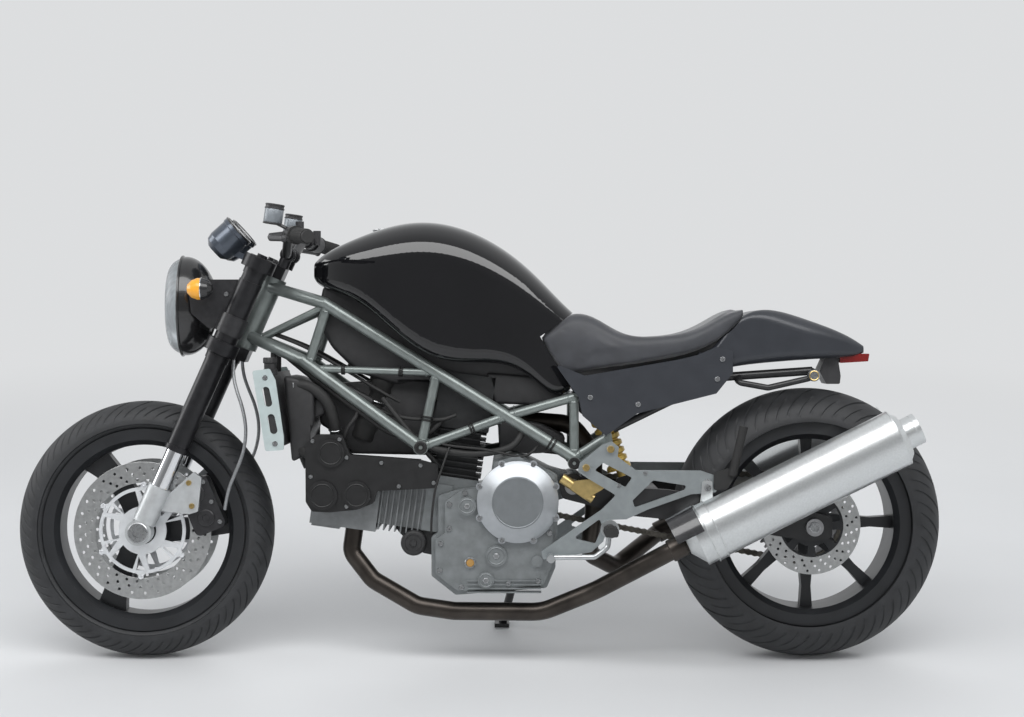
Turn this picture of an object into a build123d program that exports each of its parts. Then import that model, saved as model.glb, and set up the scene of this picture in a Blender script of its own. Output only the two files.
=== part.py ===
# Roadster motorcycle with a solo seat, an open tube frame and an L-twin engine, on its side stand.
# It is drawn upright in millimetres: X runs back from the front axle, Z up from the ground, and
# the side nearer the viewer of the front-left picture is -Y. The finished pieces are then leaned
# on the side stand, towards +Y.
import math
import os
from build123d import *

# Overall layout
LEAN = 9.0
WHEELBASE = 1551.0
FRONT_REACH = 300.0
REAR_REACH = 315.0
RAKE = 24.0
STEM_OFFSET = 30.0
FIT = 0.3

# Wheels and tyres
FRONT_TYRE_WIDTH = 120.0
FRONT_TYRE_CROWN = 62.0
FRONT_RIM_WIDTH = 89.0
REAR_TYRE_WIDTH = 180.0
REAR_TYRE_CROWN = 92.0
REAR_RIM_WIDTH = 140.0
BEAD_RADIUS = 218.0
FLANGE_RADIUS = 236.0
FLANGE_THICKNESS = 6.0
BARREL_THICKNESS = 8.0
FRONT_HUB_RADIUS = 40.0
REAR_HUB_RADIUS = 44.0
SPOKE_THICKNESS = 36.0

# Axles and brakes
FRONT_AXLE_RADIUS = 16.0
FRONT_AXLE_BORE = 12.0
REAR_AXLE_RADIUS = 12.5
FRONT_DISC_RADIUS = 160.0
FRONT_DISC_INNER = 111.0
FRONT_DISC_PLANE = 64.5
REAR_DISC_RADIUS = 113.0
REAR_DISC_INNER = 73.0
REAR_DISC_PLANE = 104.0
DISC_THICKNESS = 5.0
PAD_GAP = 2.0
CALIPER_INNER = 26.0
CALIPER_OUTER = 25.0
FRONT_HUB_HALF = 60.0
REAR_HUB_HALF = 98.0

# Fork, yokes and bar, measured along the fork from the axle
LEG_SPACING = 100.0
FOOT_TOP = 114.0
SLIDER_TOP = 205.0
FORK_TOP = 694.0
FOOT_RADIUS = 27.0
STANCHION_RADIUS = 21.5
FORK_TUBE_RADIUS = 26.0
CLAMP_RADIUS = 28.0
STEM_RADIUS = 16.0
HEAD_TUBE_RADIUS = 30.0
LOWER_YOKE = 452.0
UPPER_YOKE = 662.0
YOKE_THICKNESS = 30.0
YOKE_FRONT = -14.0
BAR_RADIUS = 11.0
GRIP_RADIUS = 16.0
GRIP_LENGTH = 122.0

# Frame
MAIN_TUBE = 14.0
BRACE_TUBE = 11.0
THIN_TUBE = 8.0
TAIL_TUBE = 10.0

# Engine
CRANK_X = 715.0
CRANK_Z = 350.0
CYLINDER_TILT = 8.0
CASE_HALF_WIDTH = 105.0
SIDE_CASE = 15.0
CLUTCH_RADIUS = 94.0
CLUTCH_FLAT = 60.0
CLUTCH_DEPTH = 32.0

# Chain drive, on the far side
CHAIN_PITCH = 15.875
REAR_TEETH = 42
FRONT_TEETH = 15
CHAIN_PLANE = 118.0
SPROCKET_THICKNESS = 6.0
SPROCKET_X = 905.0
SPROCKET_Z = 372.0

# Swingarm, exhaust and side stand
PIVOT_X = 1000.0
PIVOT_Z = 405.0
PIVOT_RADIUS = 12.0
ARM_INNER = 131.0
ARM_THICKNESS = 17.0
PIPE_RADIUS = 21.0
SILENCER_PLANE = 214.0
SILENCER_WIDTH = 60.0
SILENCER_HEIGHT = 66.0
REARSET_INNER = 150.0
REARSET_THICKNESS = 8.0
STAND_PIVOT = (880.0, 126.0, 215.0)
STAND_EYE = 22.0
STAND_PIN = 7.0
STAND_FOOT_X = 835.0
STAND_FOOT_Y = 238.0
STAND_FOLDED = (0.97, 0.03, 0.13)

LEAN_TAN = math.tan(math.radians(LEAN))
FRONT_AXLE_Z = FRONT_REACH + FRONT_TYRE_CROWN * (1 / math.cos(math.radians(LEAN)) - 1)
REAR_AXLE_Z = REAR_REACH + REAR_TYRE_CROWN * (1 / math.cos(math.radians(LEAN)) - 1)
RAKE_SIN = math.sin(math.radians(RAKE))
RAKE_COS = math.cos(math.radians(RAKE))

# Planes that the pieces are drawn in: x back, y across, z up along each axis
FORK = Plane(origin=(0, 0, FRONT_AXLE_Z), x_dir=(RAKE_COS, 0, -RAKE_SIN), z_dir=(RAKE_SIN, 0, RAKE_COS))
TILT_SIN = math.sin(math.radians(CYLINDER_TILT))
TILT_COS = math.cos(math.radians(CYLINDER_TILT))
FRONT_BORE = Plane(origin=(CRANK_X, 0, CRANK_Z), x_dir=(TILT_SIN, 0, TILT_COS), z_dir=(-TILT_COS, 0, TILT_SIN))
REAR_BORE = Plane(origin=(CRANK_X, 0, CRANK_Z), x_dir=(TILT_COS, 0, -TILT_SIN), z_dir=(TILT_SIN, 0, TILT_COS))


def rod(start, end, radius):
    """A straight round bar between two points."""
    axis = Vector(*end) - Vector(*start)
    base = Plane(origin=start, z_dir=axis)
    return base * Cylinder(radius, axis.length, align=(Align.CENTER, Align.CENTER, Align.MIN))


def across(x, z, radius, y_low, y_high):
    """A round bar that lies across the machine."""
    return rod((x, y_low, z), (x, y_high, z), radius)


def bent_tube(points, radius, bends):
    """A round tube along straight runs joined by arcs of the bend radius."""
    path = FilletPolyline(*points, radius=bends)
    return sweep(Plane(origin=path @ 0, z_dir=path % 0) * Circle(radius), path=path)


def outline(points, corner=0.0):
    """A closed flat shape with rounded corners."""
    face = make_face(Polyline(*points, close=True))
    if corner > 0:
        face = fillet(face.vertices(), corner)
    return face


def slab(shape, y_low, y_high):
    """A flat shape drawn in X and Z, made thick from one Y to another."""
    return extrude(Plane.XZ.offset(-y_high) * shape, amount=y_high - y_low)


def spin(profile, x, z):
    """A profile of radius and Y turned about a line across the machine."""
    return Pos(x, 0, z) * revolve(Plane.XY * profile, axis=Axis.Y)


def pair(shape):
    """The piece and its mirror image on the other side."""
    return Compound([shape, mirror(shape, about=Plane.XZ)])


def turned(shape, count, x, z, start=0.0):
    """Copies of a piece spaced evenly round a line across the machine."""
    copies = []
    for number in range(count):
        angle = start + 360.0 * number / count
        copies.append(Pos(x, 0, z) * Rot(0, angle, 0) * shape)
    return copies


def on_line(start, end, x):
    """The point of a straight tube at one X."""
    share = (x - start[0]) / (end[0] - start[0])
    return tuple(a + (b - a) * share for a, b in zip(start, end))


# Tyres: a crown arc, shoulders, and beads against the rim
def tyre(reach, width, crown, rim_width, x, z):
    half = width / 2
    shoulder_y = half - 2
    centre = reach - crown
    shoulder_r = centre + math.sqrt(crown ** 2 - shoulder_y ** 2)
    bead_y = rim_width / 2 - FIT
    crown_arc = ThreePointArc((shoulder_r, -shoulder_y), (reach, 0), (shoulder_r, shoulder_y))
    side = Polyline(
        (shoulder_r, shoulder_y),
        (shoulder_r - 9, half),
        (FLANGE_RADIUS + 5, bead_y + FLANGE_THICKNESS),
        (FLANGE_RADIUS + 1, bead_y),
        (BEAD_RADIUS, bead_y),
        (BEAD_RADIUS, -bead_y),
        (FLANGE_RADIUS + 1, -bead_y),
        (FLANGE_RADIUS + 5, -bead_y - FLANGE_THICKNESS),
        (shoulder_r - 9, -half),
        (shoulder_r, -shoulder_y),
    )
    return spin(make_face(crown_arc + side), x, z)


# Rims: a barrel with a flange each side, a hub, and spokes between them
def barrel(rim_width):
    flange = rim_width / 2 + FLANGE_THICKNESS
    inner = BEAD_RADIUS - BARREL_THICKNESS
    seat = BEAD_RADIUS - FIT
    points = [
        (inner, -flange),
        (FLANGE_RADIUS, -flange),
        (FLANGE_RADIUS, -rim_width / 2),
        (seat, -rim_width / 2),
        (seat, rim_width / 2),
        (FLANGE_RADIUS, rim_width / 2),
        (FLANGE_RADIUS, flange),
        (inner, flange),
        (inner - 12, flange - 14),
        (inner - 12, -flange + 14),
    ]
    return outline(points)


def broad_spoke():
    """A curved front spoke, wide at the hub and flared into the rim."""
    reach = BEAD_RADIUS - BARREL_THICKNESS - 6
    edge = ThreePointArc((20, 36), (110, 26), (reach, 66))
    tip = Line((reach, 66), (reach, -10))
    back = ThreePointArc((reach, -10), (110, -24), (20, -36))
    return make_face(edge + tip + back + Line((20, -36), (20, 36)))


def thin_spoke():
    """A slim rear spoke that tapers towards the rim."""
    reach = BEAD_RADIUS - BARREL_THICKNESS
    return outline([(20, 22), (150, 11), (reach, 15), (reach, -15), (150, -11), (20, -22)])


def rim(x, z, rim_width, hub_radius, hub_low, hub_high, bore, spoke, count, start):
    body = spin(barrel(rim_width), x, z)
    for copy in turned(slab(spoke, -SPOKE_THICKNESS / 2, SPOKE_THICKNESS / 2), count, x, z, start):
        body += copy
    body += across(x, z, hub_radius, hub_low, hub_high)
    return body - across(x, z, bore, hub_low - 1, hub_high + 1)


# Brake discs on their carriers, held by round bobbins
BOBBIN_RADIUS = 7.0
FRONT_BOBBINS = 6
BOBBIN_START = 28.0


def ring(outer, inner, y_low, y_high, x, z):
    return across(x, z, outer, y_low, y_high) - across(x, z, inner, y_low - 1, y_high + 1)


def front_disc():
    low = -FRONT_DISC_PLANE - DISC_THICKNESS / 2
    high = -FRONT_DISC_PLANE + DISC_THICKNESS / 2
    disc = ring(FRONT_DISC_RADIUS, FRONT_DISC_INNER, low, high, 0, FRONT_AXLE_Z)
    notch = across(FRONT_DISC_INNER, 0, BOBBIN_RADIUS + FIT, low - 1, high + 1)
    for copy in turned(notch, FRONT_BOBBINS, 0, FRONT_AXLE_Z, -BOBBIN_START):
        disc -= copy
    return disc


def front_carrier():
    low = -FRONT_DISC_PLANE - DISC_THICKNESS / 2
    high = -FRONT_DISC_PLANE + DISC_THICKNESS / 2
    carrier = ring(56, FRONT_HUB_RADIUS - 8, low, -FRONT_HUB_HALF - FIT, 0, FRONT_AXLE_Z)
    carrier += ring(101, 93, low, high, 0, FRONT_AXLE_Z)
    arm = slab(outline([(50, 7), (98, 22), (98, 12), (60, -7), (98, -12), (98, -22), (50, -7)]), low, high)
    bobbin = across(FRONT_DISC_INNER, 0, BOBBIN_RADIUS, low, high)
    lug = slab(outline([(97, -11), (FRONT_DISC_INNER - 6, -7), (FRONT_DISC_INNER - 6, 7), (97, 11)]), low, high)
    for copy in turned(bobbin + lug, FRONT_BOBBINS, 0, FRONT_AXLE_Z, -BOBBIN_START):
        carrier += copy
    for copy in turned(arm, FRONT_BOBBINS, 0, FRONT_AXLE_Z, -BOBBIN_START):
        carrier += copy
    return carrier


def rear_disc():
    low = -REAR_DISC_PLANE - DISC_THICKNESS / 2
    high = -REAR_DISC_PLANE + DISC_THICKNESS / 2
    disc = ring(REAR_DISC_RADIUS, REAR_DISC_INNER, low, high, WHEELBASE, REAR_AXLE_Z)
    disc += ring(50, REAR_AXLE_RADIUS + 12, low, high, WHEELBASE, REAR_AXLE_Z)
    disc += ring(REAR_HUB_RADIUS, REAR_AXLE_RADIUS + 12, high - 1, -REAR_HUB_HALF - FIT, WHEELBASE, REAR_AXLE_Z)
    arm = slab(outline([(45, 9), (REAR_DISC_INNER + 2, 7), (REAR_DISC_INNER + 2, -7), (45, -9)]), low, high)
    for copy in turned(arm, 8, WHEELBASE, REAR_AXLE_Z):
        disc += copy
    return disc


def caliper(angle, centre, radial, length, plane, inner, outer, disc_radius, x, z):
    """A block over the disc's edge, with the slot that the disc runs in."""
    body = Box(radial, inner + outer, length)
    body = fillet(body.edges().filter_by(Axis.Y), 14)
    body = Pos(x, 0, z) * Rot(0, -angle, 0) * Pos(centre, -plane + (inner - outer) / 2, 0) * body
    gap = DISC_THICKNESS / 2 + PAD_GAP
    return body - across(x, z, disc_radius + 4, -plane - gap, -plane + gap)


# Fork legs, yokes and steering head, drawn along the fork's own axis
def leg_bar(radius, low, high, back=0.0, side=-LEG_SPACING):
    return FORK * Pos(back, side, low) * Cylinder(radius, high - low, align=(Align.CENTER, Align.CENTER, Align.MIN))


FOOT_INNER = 80.0
FOOT_OUTER = 124.0


def fork_foot():
    foot = leg_bar(FOOT_RADIUS, 24.5, FOOT_TOP)
    foot += across(0, FRONT_AXLE_Z, 30, -FOOT_OUTER, -FOOT_INNER)
    bracket = outline([(10, 60), (10, 104), (28, 112), (58, 178), (80, 172), (104, 98), (88, 84)], 4)
    ear = FRONT_DISC_PLANE + CALIPER_OUTER + FIT
    foot += FORK * extrude(Plane.XZ.offset(ear) * bracket, amount=LEG_SPACING + 4 - ear)
    return foot - across(0, FRONT_AXLE_Z, FRONT_AXLE_RADIUS + FIT / 2, -FOOT_OUTER - 1, -FOOT_INNER + 1)


def front_axle():
    axle = across(0, FRONT_AXLE_Z, FRONT_AXLE_RADIUS, -FOOT_OUTER - 6, FOOT_OUTER + 6)
    for side in (-1, 1):
        inner = side * (FRONT_DISC_PLANE - 1.5)
        axle += across(0, FRONT_AXLE_Z, 23, min(inner, side * (FOOT_INNER - FIT)), max(inner, side * (FOOT_INNER - FIT)))
        end = side * (FOOT_OUTER + FIT)
        cap = side * (FOOT_OUTER + 6)
        axle += across(0, FRONT_AXLE_Z, 20, min(end, cap), max(end, cap))
    return axle - across(0, FRONT_AXLE_Z, FRONT_AXLE_BORE, -FOOT_OUTER - 7, FOOT_OUTER + 7)


def fork_outer():
    leg = leg_bar(FORK_TUBE_RADIUS, SLIDER_TOP, FORK_TOP - 4)
    leg += leg_bar(FORK_TUBE_RADIUS + 2.5, SLIDER_TOP, SLIDER_TOP + 12)
    leg += leg_bar(CLAMP_RADIUS, LOWER_YOKE - 18, LOWER_YOKE + YOKE_THICKNESS + 150)
    leg += leg_bar(CLAMP_RADIUS, UPPER_YOKE - 14, FORK_TOP - 2)
    return leg + leg_bar(12, FORK_TOP - 4, FORK_TOP + 6)


def yoke(low, stem_hole):
    half = LEG_SPACING
    shape = outline([(YOKE_FRONT, -half), (YOKE_FRONT, half), (22, half + 8), (54, 34), (54, -34), (22, -half - 8)], 8)
    plate = extrude(Plane.XY * shape, amount=YOKE_THICKNESS)
    for side in (-half, half):
        plate += Pos(0, side, YOKE_THICKNESS / 2) * Cylinder(CLAMP_RADIUS + 11, YOKE_THICKNESS)
    for side in (-half, half):
        plate -= Pos(0, side, YOKE_THICKNESS / 2) * Cylinder(CLAMP_RADIUS + FIT / 2, YOKE_THICKNESS + 2)
    if stem_hole > 0:
        plate -= Pos(STEM_OFFSET, 0, YOKE_THICKNESS / 2) * Cylinder(stem_hole, YOKE_THICKNESS + 2)
    return FORK * Pos(0, 0, low) * plate


def lower_yoke():
    stem = leg_bar(STEM_RADIUS, LOWER_YOKE + 1, UPPER_YOKE + YOKE_THICKNESS + 8, STEM_OFFSET, 0)
    return yoke(LOWER_YOKE, 0) + stem


RISER_BACK = 46.0
RISER_SPREAD = 45.0


def upper_yoke():
    plate = yoke(UPPER_YOKE, STEM_RADIUS + FIT / 2)
    for side in (-RISER_SPREAD, RISER_SPREAD):
        riser = leg_bar(14, UPPER_YOKE + YOKE_THICKNESS - 1, BAR_HEIGHT - BAR_RADIUS - FIT, RISER_BACK, side)
        plate += riser
    return plate


COLLAR = 4.0
COLLAR_HEIGHT = 14.0


def head_collars():
    """Where the thicker ends of the head tube lie along the fork."""
    low = LOWER_YOKE + YOKE_THICKNESS + FIT
    high = UPPER_YOKE - FIT
    return [(low, low + COLLAR_HEIGHT), (high - COLLAR_HEIGHT, high)]


def head_tube():
    (low, low_top), (high_bottom, high) = head_collars()
    tube = leg_bar(HEAD_TUBE_RADIUS, low + 1, high - 1, STEM_OFFSET, 0)
    tube += leg_bar(HEAD_TUBE_RADIUS + COLLAR, low, low_top, STEM_OFFSET, 0)
    tube += leg_bar(HEAD_TUBE_RADIUS + COLLAR, high_bottom, high, STEM_OFFSET, 0)
    return tube - leg_bar(STEM_RADIUS + FIT, low - 1, high + 1, STEM_OFFSET, 0)


# Handlebar: clamped over the upper yoke, swept back to the grips
BAR_HEIGHT = 724.0
BAR_CENTRE = FORK.from_local_coords(Vector(RISER_BACK, 0, BAR_HEIGHT))
BAR_BEND = (BAR_CENTRE.X + 14, -165.0, BAR_CENTRE.Z + 42)
BAR_END = (414.0, -368.0, 970.0)
BAR_DIRECTION = (Vector(*BAR_END) - Vector(*BAR_BEND)).normalized()
GRIP_INNER = Vector(*BAR_END) - BAR_DIRECTION * GRIP_LENGTH
HOUSING_LENGTH = 40.0
HOUSING_INNER = GRIP_INNER - BAR_DIRECTION * (HOUSING_LENGTH + 1)


def handlebar():
    near = [(BAR_CENTRE.X, 0, BAR_CENTRE.Z), (BAR_CENTRE.X, -75, BAR_CENTRE.Z), BAR_BEND, BAR_END]
    half = bent_tube(near, BAR_RADIUS, 40)
    return half + mirror(half, about=Plane.XZ)


def grip():
    sleeve = rod(tuple(GRIP_INNER), BAR_END, GRIP_RADIUS)
    flange = rod(tuple(GRIP_INNER), tuple(GRIP_INNER + BAR_DIRECTION * 5), GRIP_RADIUS + 5)
    bore = rod(tuple(GRIP_INNER - BAR_DIRECTION), tuple(Vector(*BAR_END) + BAR_DIRECTION), BAR_RADIUS + FIT / 2)
    cap = rod(tuple(Vector(*BAR_END) + BAR_DIRECTION * FIT), tuple(Vector(*BAR_END) + BAR_DIRECTION * 14), GRIP_RADIUS - 2)
    return sleeve + flange - bore, cap


LEVER_FORWARD = 52.0
MIRROR_BOSS = 29.0
MIRROR_BACK = 19.0
MIRROR_HOLE = 4.25
MIRROR_HOLE_DEPTH = 14.0


def lever():
    """Switch housing, lever perch and lever, as one clamped unit."""
    start = HOUSING_INNER
    housing = rod(tuple(start), tuple(start + BAR_DIRECTION * HOUSING_LENGTH), 20)
    perch_start = start - BAR_DIRECTION * 26
    perch = rod(tuple(perch_start), tuple(start + BAR_DIRECTION), 16)
    ahead = Vector(-1, -0.25, -0.12).normalized()
    hinge = start + BAR_DIRECTION * 6 + ahead * LEVER_FORWARD
    perch += rod(tuple(perch_start + BAR_DIRECTION * 13), tuple(hinge), 9)
    middle = start + BAR_DIRECTION * 80 + ahead * (LEVER_FORWARD + 12)
    tip = start + BAR_DIRECTION * 158 + ahead * (LEVER_FORWARD - 2)
    blade = rod(tuple(hinge), tuple(middle), 6) + rod(tuple(middle), tuple(tip), 6)
    blade += Pos(*tip) * Sphere(8)
    bore = rod(tuple(perch_start - BAR_DIRECTION * 2), tuple(start + BAR_DIRECTION * (HOUSING_LENGTH + 2)), BAR_RADIUS + FIT / 2)
    # Boss with the threaded hole for a mirror, on the back of the perch
    foot = perch_start + BAR_DIRECTION * 12 + Vector(MIRROR_BACK, 0, 0)
    top = foot + Vector(0, 0, MIRROR_BOSS)
    boss = rod(tuple(foot - Vector(0, 0, 7)), tuple(top), 9.5)
    hole = rod(tuple(top - Vector(0, 0, MIRROR_HOLE_DEPTH)), tuple(top + Vector(0, 0, 1)), MIRROR_HOLE)
    return housing + perch + boss + blade - bore - hole


RESERVOIR_PLACE = (318.0, -196.0, 1006.0)
RESERVOIR_RADIUS = 21.0


def reservoir():
    x, y, z = RESERVOIR_PLACE
    cup = Pos(x, y, z) * Rot(0, 8, 0) * Cylinder(RESERVOIR_RADIUS, 46, align=(Align.CENTER, Align.CENTER, Align.MIN))
    stalk_end = HOUSING_INNER - BAR_DIRECTION * 8
    side = stalk_end + Vector(-12, 0, 14)
    return cup + rod((x + 2, y, z + 6), tuple(side), 4)


# Gauges: short cylinders with a rounded back, faces tipped towards the rider
GAUGE_BACK = (166.0, -52.0, 950.0)
GAUGE_FACE = (222.0, -52.0, 1000.0)
GAUGE_RADIUS = 40.0
GAUGE_ARM = 66.0


def gauge():
    axis = Vector(*GAUGE_FACE) - Vector(*GAUGE_BACK)
    depth = axis.length
    points = Polyline((0, 0), (GAUGE_RADIUS * 0.55, 0), (GAUGE_RADIUS * 0.86, 10), (GAUGE_RADIUS - 2, 24),
                      (GAUGE_RADIUS - 2, depth - 12), (GAUGE_RADIUS, depth - 10), (GAUGE_RADIUS, depth), (0, depth), (0, 0))
    body = revolve(Plane.XZ * make_face(points), axis=Axis.Z)
    # Arm back to the front face of the upper yoke
    arm_front = YOKE_FRONT - FIT - GAUGE_ARM
    arm = Pos(arm_front, GAUGE_BACK[1], UPPER_YOKE + 8) * Box(GAUGE_ARM, 14, 14, align=(Align.MIN, Align.CENTER, Align.MIN))
    return Plane(origin=GAUGE_BACK, z_dir=axis) * body + FORK * arm


# Headlight: an upright oval shell with a clear front, on plates clamped to the fork
HEADLIGHT_MIDDLE = 824.0


def ovals(stations):
    """Upright oval sections at each X: (x, half width, half height)."""
    sections = []
    for x, half_width, half_height in stations:
        sections.append(Plane.YZ.offset(x) * Pos(0, HEADLIGHT_MIDDLE) * Ellipse(half_width, half_height))
    return loft(sections)


def headlight_shell():
    return ovals([(84, 90, 116), (112, 86, 112), (140, 66, 88), (160, 34, 48)])


def headlight_lens():
    return ovals([(50, 58, 78), (60, 76, 100), (84 - FIT, 87, 113)])


def headlight_bracket():
    plate = outline([(118, 806), (112, 862), (140, 884), (250, 884), (236, 790), (160, 770)], 8)
    bracket = slab(plate, -98, -94)
    clamp = leg_bar(CLAMP_RADIUS + 5, 500, 545)
    pivot = across(128, HEADLIGHT_MIDDLE + 6, 10, -98, -60) - Pos(0, -FIT, 0) * headlight_shell()
    bracket = bracket + clamp + pivot.solids().sort_by(Axis.Y)[0]
    bracket -= leg_bar(CLAMP_RADIUS + FIT / 2, 400, 700)
    return bracket


INDICATOR_PLACE = (146.0, -146.0, 861.0)


def indicator():
    x, y, z = INDICATOR_PLACE
    profile = outline([(-31, 0), (-28, 11), (-19, 20), (-6, 25), (6, 25), (19, 20), (28, 11), (31, 0)])
    body = Pos(x, y, z) * revolve(Plane.XY * profile, axis=Axis.X)
    return body + rod((x + 4, y + 18, z), (x + 4, -98 - FIT, z), 8)


def front_caliper():
    return caliper(22.8, 152, 74, 128, FRONT_DISC_PLANE, CALIPER_INNER, CALIPER_OUTER, FRONT_DISC_RADIUS, 0, FRONT_AXLE_Z)


HOSE_ROUTE = [
    (196, -96, 352),
    (203, -108, 392),
    (222, -116, 436),
    (243, -120, 486),
    (249, -118, 536),
    (240, -112, 586),
    (222, -100, 632),
    (213, -84, 668),
    (213.5, -72, 697.5),
]
HOSE_RADIUS = 4.0


def brake_hose():
    runs = []
    for a, b in zip(HOSE_ROUTE, HOSE_ROUTE[1:]):
        runs.append(Vector(*b) - Vector(*a))
    bends = []
    for before, after in zip(runs, runs[1:]):
        turn = math.radians(before.get_angle(after))
        bends.append(0.45 * min(before.length, after.length) / math.tan(turn / 2))
    return bent_tube(HOSE_ROUTE, HOSE_RADIUS, bends)


# Frame: straight tubes between lugs, the same each side and joined across the middle
TOP_HEAD = (292.0, -20.0, 868.0)
TOP_BEND = (425.0, -86.0, 829.0)
TOP_END = (1003.0, -115.0, 473.0)
LOW_HEAD = (246.0, -20.0, 752.0)
LOW_BEND = (372.0, -82.0, 698.0)
LOW_END = (650.0, -113.0, 497.0)
RAIL_KNEE = (1003.0, -104.0, 612.0)
STAY_FOOT = (1085.0, -106.0, 525.0)


def frame_side():
    side = rod(TOP_HEAD, TOP_BEND, MAIN_TUBE) + Pos(*TOP_BEND) * Sphere(MAIN_TUBE)
    side += rod(TOP_BEND, TOP_END, MAIN_TUBE)
    side += rod(LOW_HEAD, LOW_BEND, MAIN_TUBE) + Pos(*LOW_BEND) * Sphere(MAIN_TUBE)
    side += rod(LOW_BEND, LOW_END, MAIN_TUBE)
    top = {x: on_line(TOP_BEND, TOP_END, x) for x in (432, 686, 848)}
    low = {x: on_line(LOW_BEND, LOW_END, x) for x in (388, 400)}
    # Braces: start, end and tube radius
    braces = [
        (top[432], low[388], BRACE_TUBE),
        (top[432], on_line(LOW_HEAD, LOW_BEND, 262), THIN_TUBE),
        (low[400], top[686], THIN_TUBE),
        (top[686], LOW_END, BRACE_TUBE),
        (LOW_END, top[848], BRACE_TUBE),
        (top[848], RAIL_KNEE, BRACE_TUBE),
        (TOP_END, RAIL_KNEE, BRACE_TUBE),
        (TOP_END, STAY_FOOT, BRACE_TUBE),
    ]
    for start, end, radius in braces:
        side += rod(start, end, radius)
    # Lugs at the lower corners, and the gusset that the foot-rest plate bolts to
    side += across(LOW_END[0], LOW_END[2], 17, -128, -98)
    side += across(TOP_END[0], TOP_END[2] - 12, 15, -130, -100)
    side += slab(outline([(1000, 484), (1012, 452), (1038, 440), (1096, 486), (1088, 534)], 4), -117, -110)
    # Cross tubes reach the middle plane
    side += across(LOW_END[0] - 4, LOW_END[2] + 4, 9, -113, 0)
    side += across(TOP_END[0] + 2, TOP_END[2] - 4, 10, -115, 0)
    side += across(RAIL_KNEE[0], RAIL_KNEE[2], 9, -104, 0)
    side -= leg_bar(HEAD_TUBE_RADIUS + FIT / 2, 300, 800, STEM_OFFSET, 0)
    for low, high in head_collars():
        side -= leg_bar(HEAD_TUBE_RADIUS + COLLAR + FIT / 2, low - FIT, high + FIT, STEM_OFFSET, 0)
    middle = Pos(700, 500, 600) * Box(3000, 1000, 2000)
    return side - middle


# Rear subframe: rails under the seat and cowl, stays below, and the two strap loops
RAIL_START = (RAIL_KNEE[0] + BRACE_TUBE - 1, -100.0, RAIL_KNEE[2] + 3)
RAIL_REAR = (1345.0, -84.0, 658.0)


def tail_frame():
    rear = RAIL_REAR
    end = (1560.0, -50.0, 672.0)
    side = rod(RAIL_START, rear, TAIL_TUBE) + Pos(*rear) * Sphere(TAIL_TUBE)
    side += rod(rear, end, TAIL_TUBE)
    side += rod((STAY_FOOT[0] + 8, -104.0, STAY_FOOT[2] + 12), rear, THIN_TUBE)
    side += across(1345, 658, THIN_TUBE, -84, 0)
    side += across(1550, 671, THIN_TUBE, -50, 0)
    loop = bent_tube([(1392, -76, 661), (1372, -104, 648), (1450, -112, 634), (1550, -96, 656), (1562, -52, 672)], 7, 14)
    side += loop
    side -= rod(TOP_END, (RAIL_KNEE[0], RAIL_KNEE[1], RAIL_KNEE[2] + FIT), BRACE_TUBE + FIT)
    side -= across(RAIL_KNEE[0], RAIL_KNEE[2], 9 + FIT, -104, 0)
    return side - Pos(1400, 500, 600) * Box(3000, 1000, 2000)


# Tank, seat and cowls
def rounded_section(x, half_width, z_low, z_high, low_corner, high_corner):
    shape = Rectangle(2 * half_width, z_high - z_low)
    by_height = shape.vertices().sort_by(Axis.Y)
    shape = fillet(by_height[:2], low_corner)
    by_height = shape.vertices().sort_by(Axis.Y)
    shape = fillet(by_height[-2:], high_corner)
    return Plane.YZ.offset(x) * Pos(0, (z_low + z_high) / 2) * shape


def section_loft(stations):
    """A body through sections: (x, half width, bottom, top, bottom corner, top corner)."""
    return loft([rounded_section(*station) for station in stations])


TANK_STATIONS = [
    (399, 62, 886, 922, 12, 16),
    (450, 112, 856, 958, 26, 44),
    (560, 148, 790, 1003, 34, 84),
    (700, 152, 700, 1014, 34, 92),
    (824, 132, 690, 966, 30, 84),
    (926, 106, 638, 884, 24, 66),
    (1004, 84, 640, 806, 20, 46),
]
# Where the seat's nose meets the tank, and where its rear meets the cowl, in X and Z
NOSE_SEAM = [(1012, 815), (976, 788), (925, 752), (951, 706), (1000, 640)]
COWL_SEAM = [(1240, 704), (1285, 719), (1333, 739), (1370, 770), (1399, 803)]
SEAM_GAP = 1.0
SEAT_STATIONS = [
    (905, 92, 660, 770, 20, 30),
    (960, 106, 662, 792, 20, 34),
    (1013, 116, 668, 806, 16, 36),
    (1060, 124, 677, 790, 14, 34),
    (1118, 132, 686, 758, 12, 26),
    (1190, 138, 698, 751, 12, 20),
    (1261, 138, 713, 761, 12, 20),
    (1322, 128, 738, 789, 12, 20),
    (1362, 116, 766, 811, 10, 18),
    (1396, 102, 800, 820, 4, 10),
]
COWL_STATIONS = [
    (1290, 122, 672, 716, 14, 10),
    (1336, 123, 676, 740, 16, 12),
    (1398, 112, 686, 802, 20, 14),
    (1480, 100, 694, 811, 22, 34),
    (1570, 80, 700, 784, 20, 32),
    (1656, 50, 707, 748, 12, 18),
    (1684, 34, 714, 730, 5, 7),
]


def fuel_tank():
    body = section_loft(TANK_STATIONS)
    return body - slab(outline(NOSE_SEAM + [(1000, 500), (1300, 500), (1300, 815)]), -200, 200)


def seat_pad():
    body = section_loft(SEAT_STATIONS)
    nose = [(x + SEAM_GAP, z) for x, z in NOSE_SEAM]
    body -= slab(outline(nose + [(1000, 500), (800, 500), (800, 900), (1013, 900)]), -200, 200)
    rear = [(x, z + SEAM_GAP) for x, z in COWL_SEAM]
    return body - slab(outline(rear + [(1500, 804), (1500, 600), (1240, 600)]), -200, 200)


PANEL_INNER = 119.0
PANEL_THICKNESS = 5.0
PANEL_BOSSES = [1110.0, 1300.0]


def cowl_hump():
    return section_loft(COWL_STATIONS)


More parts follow.
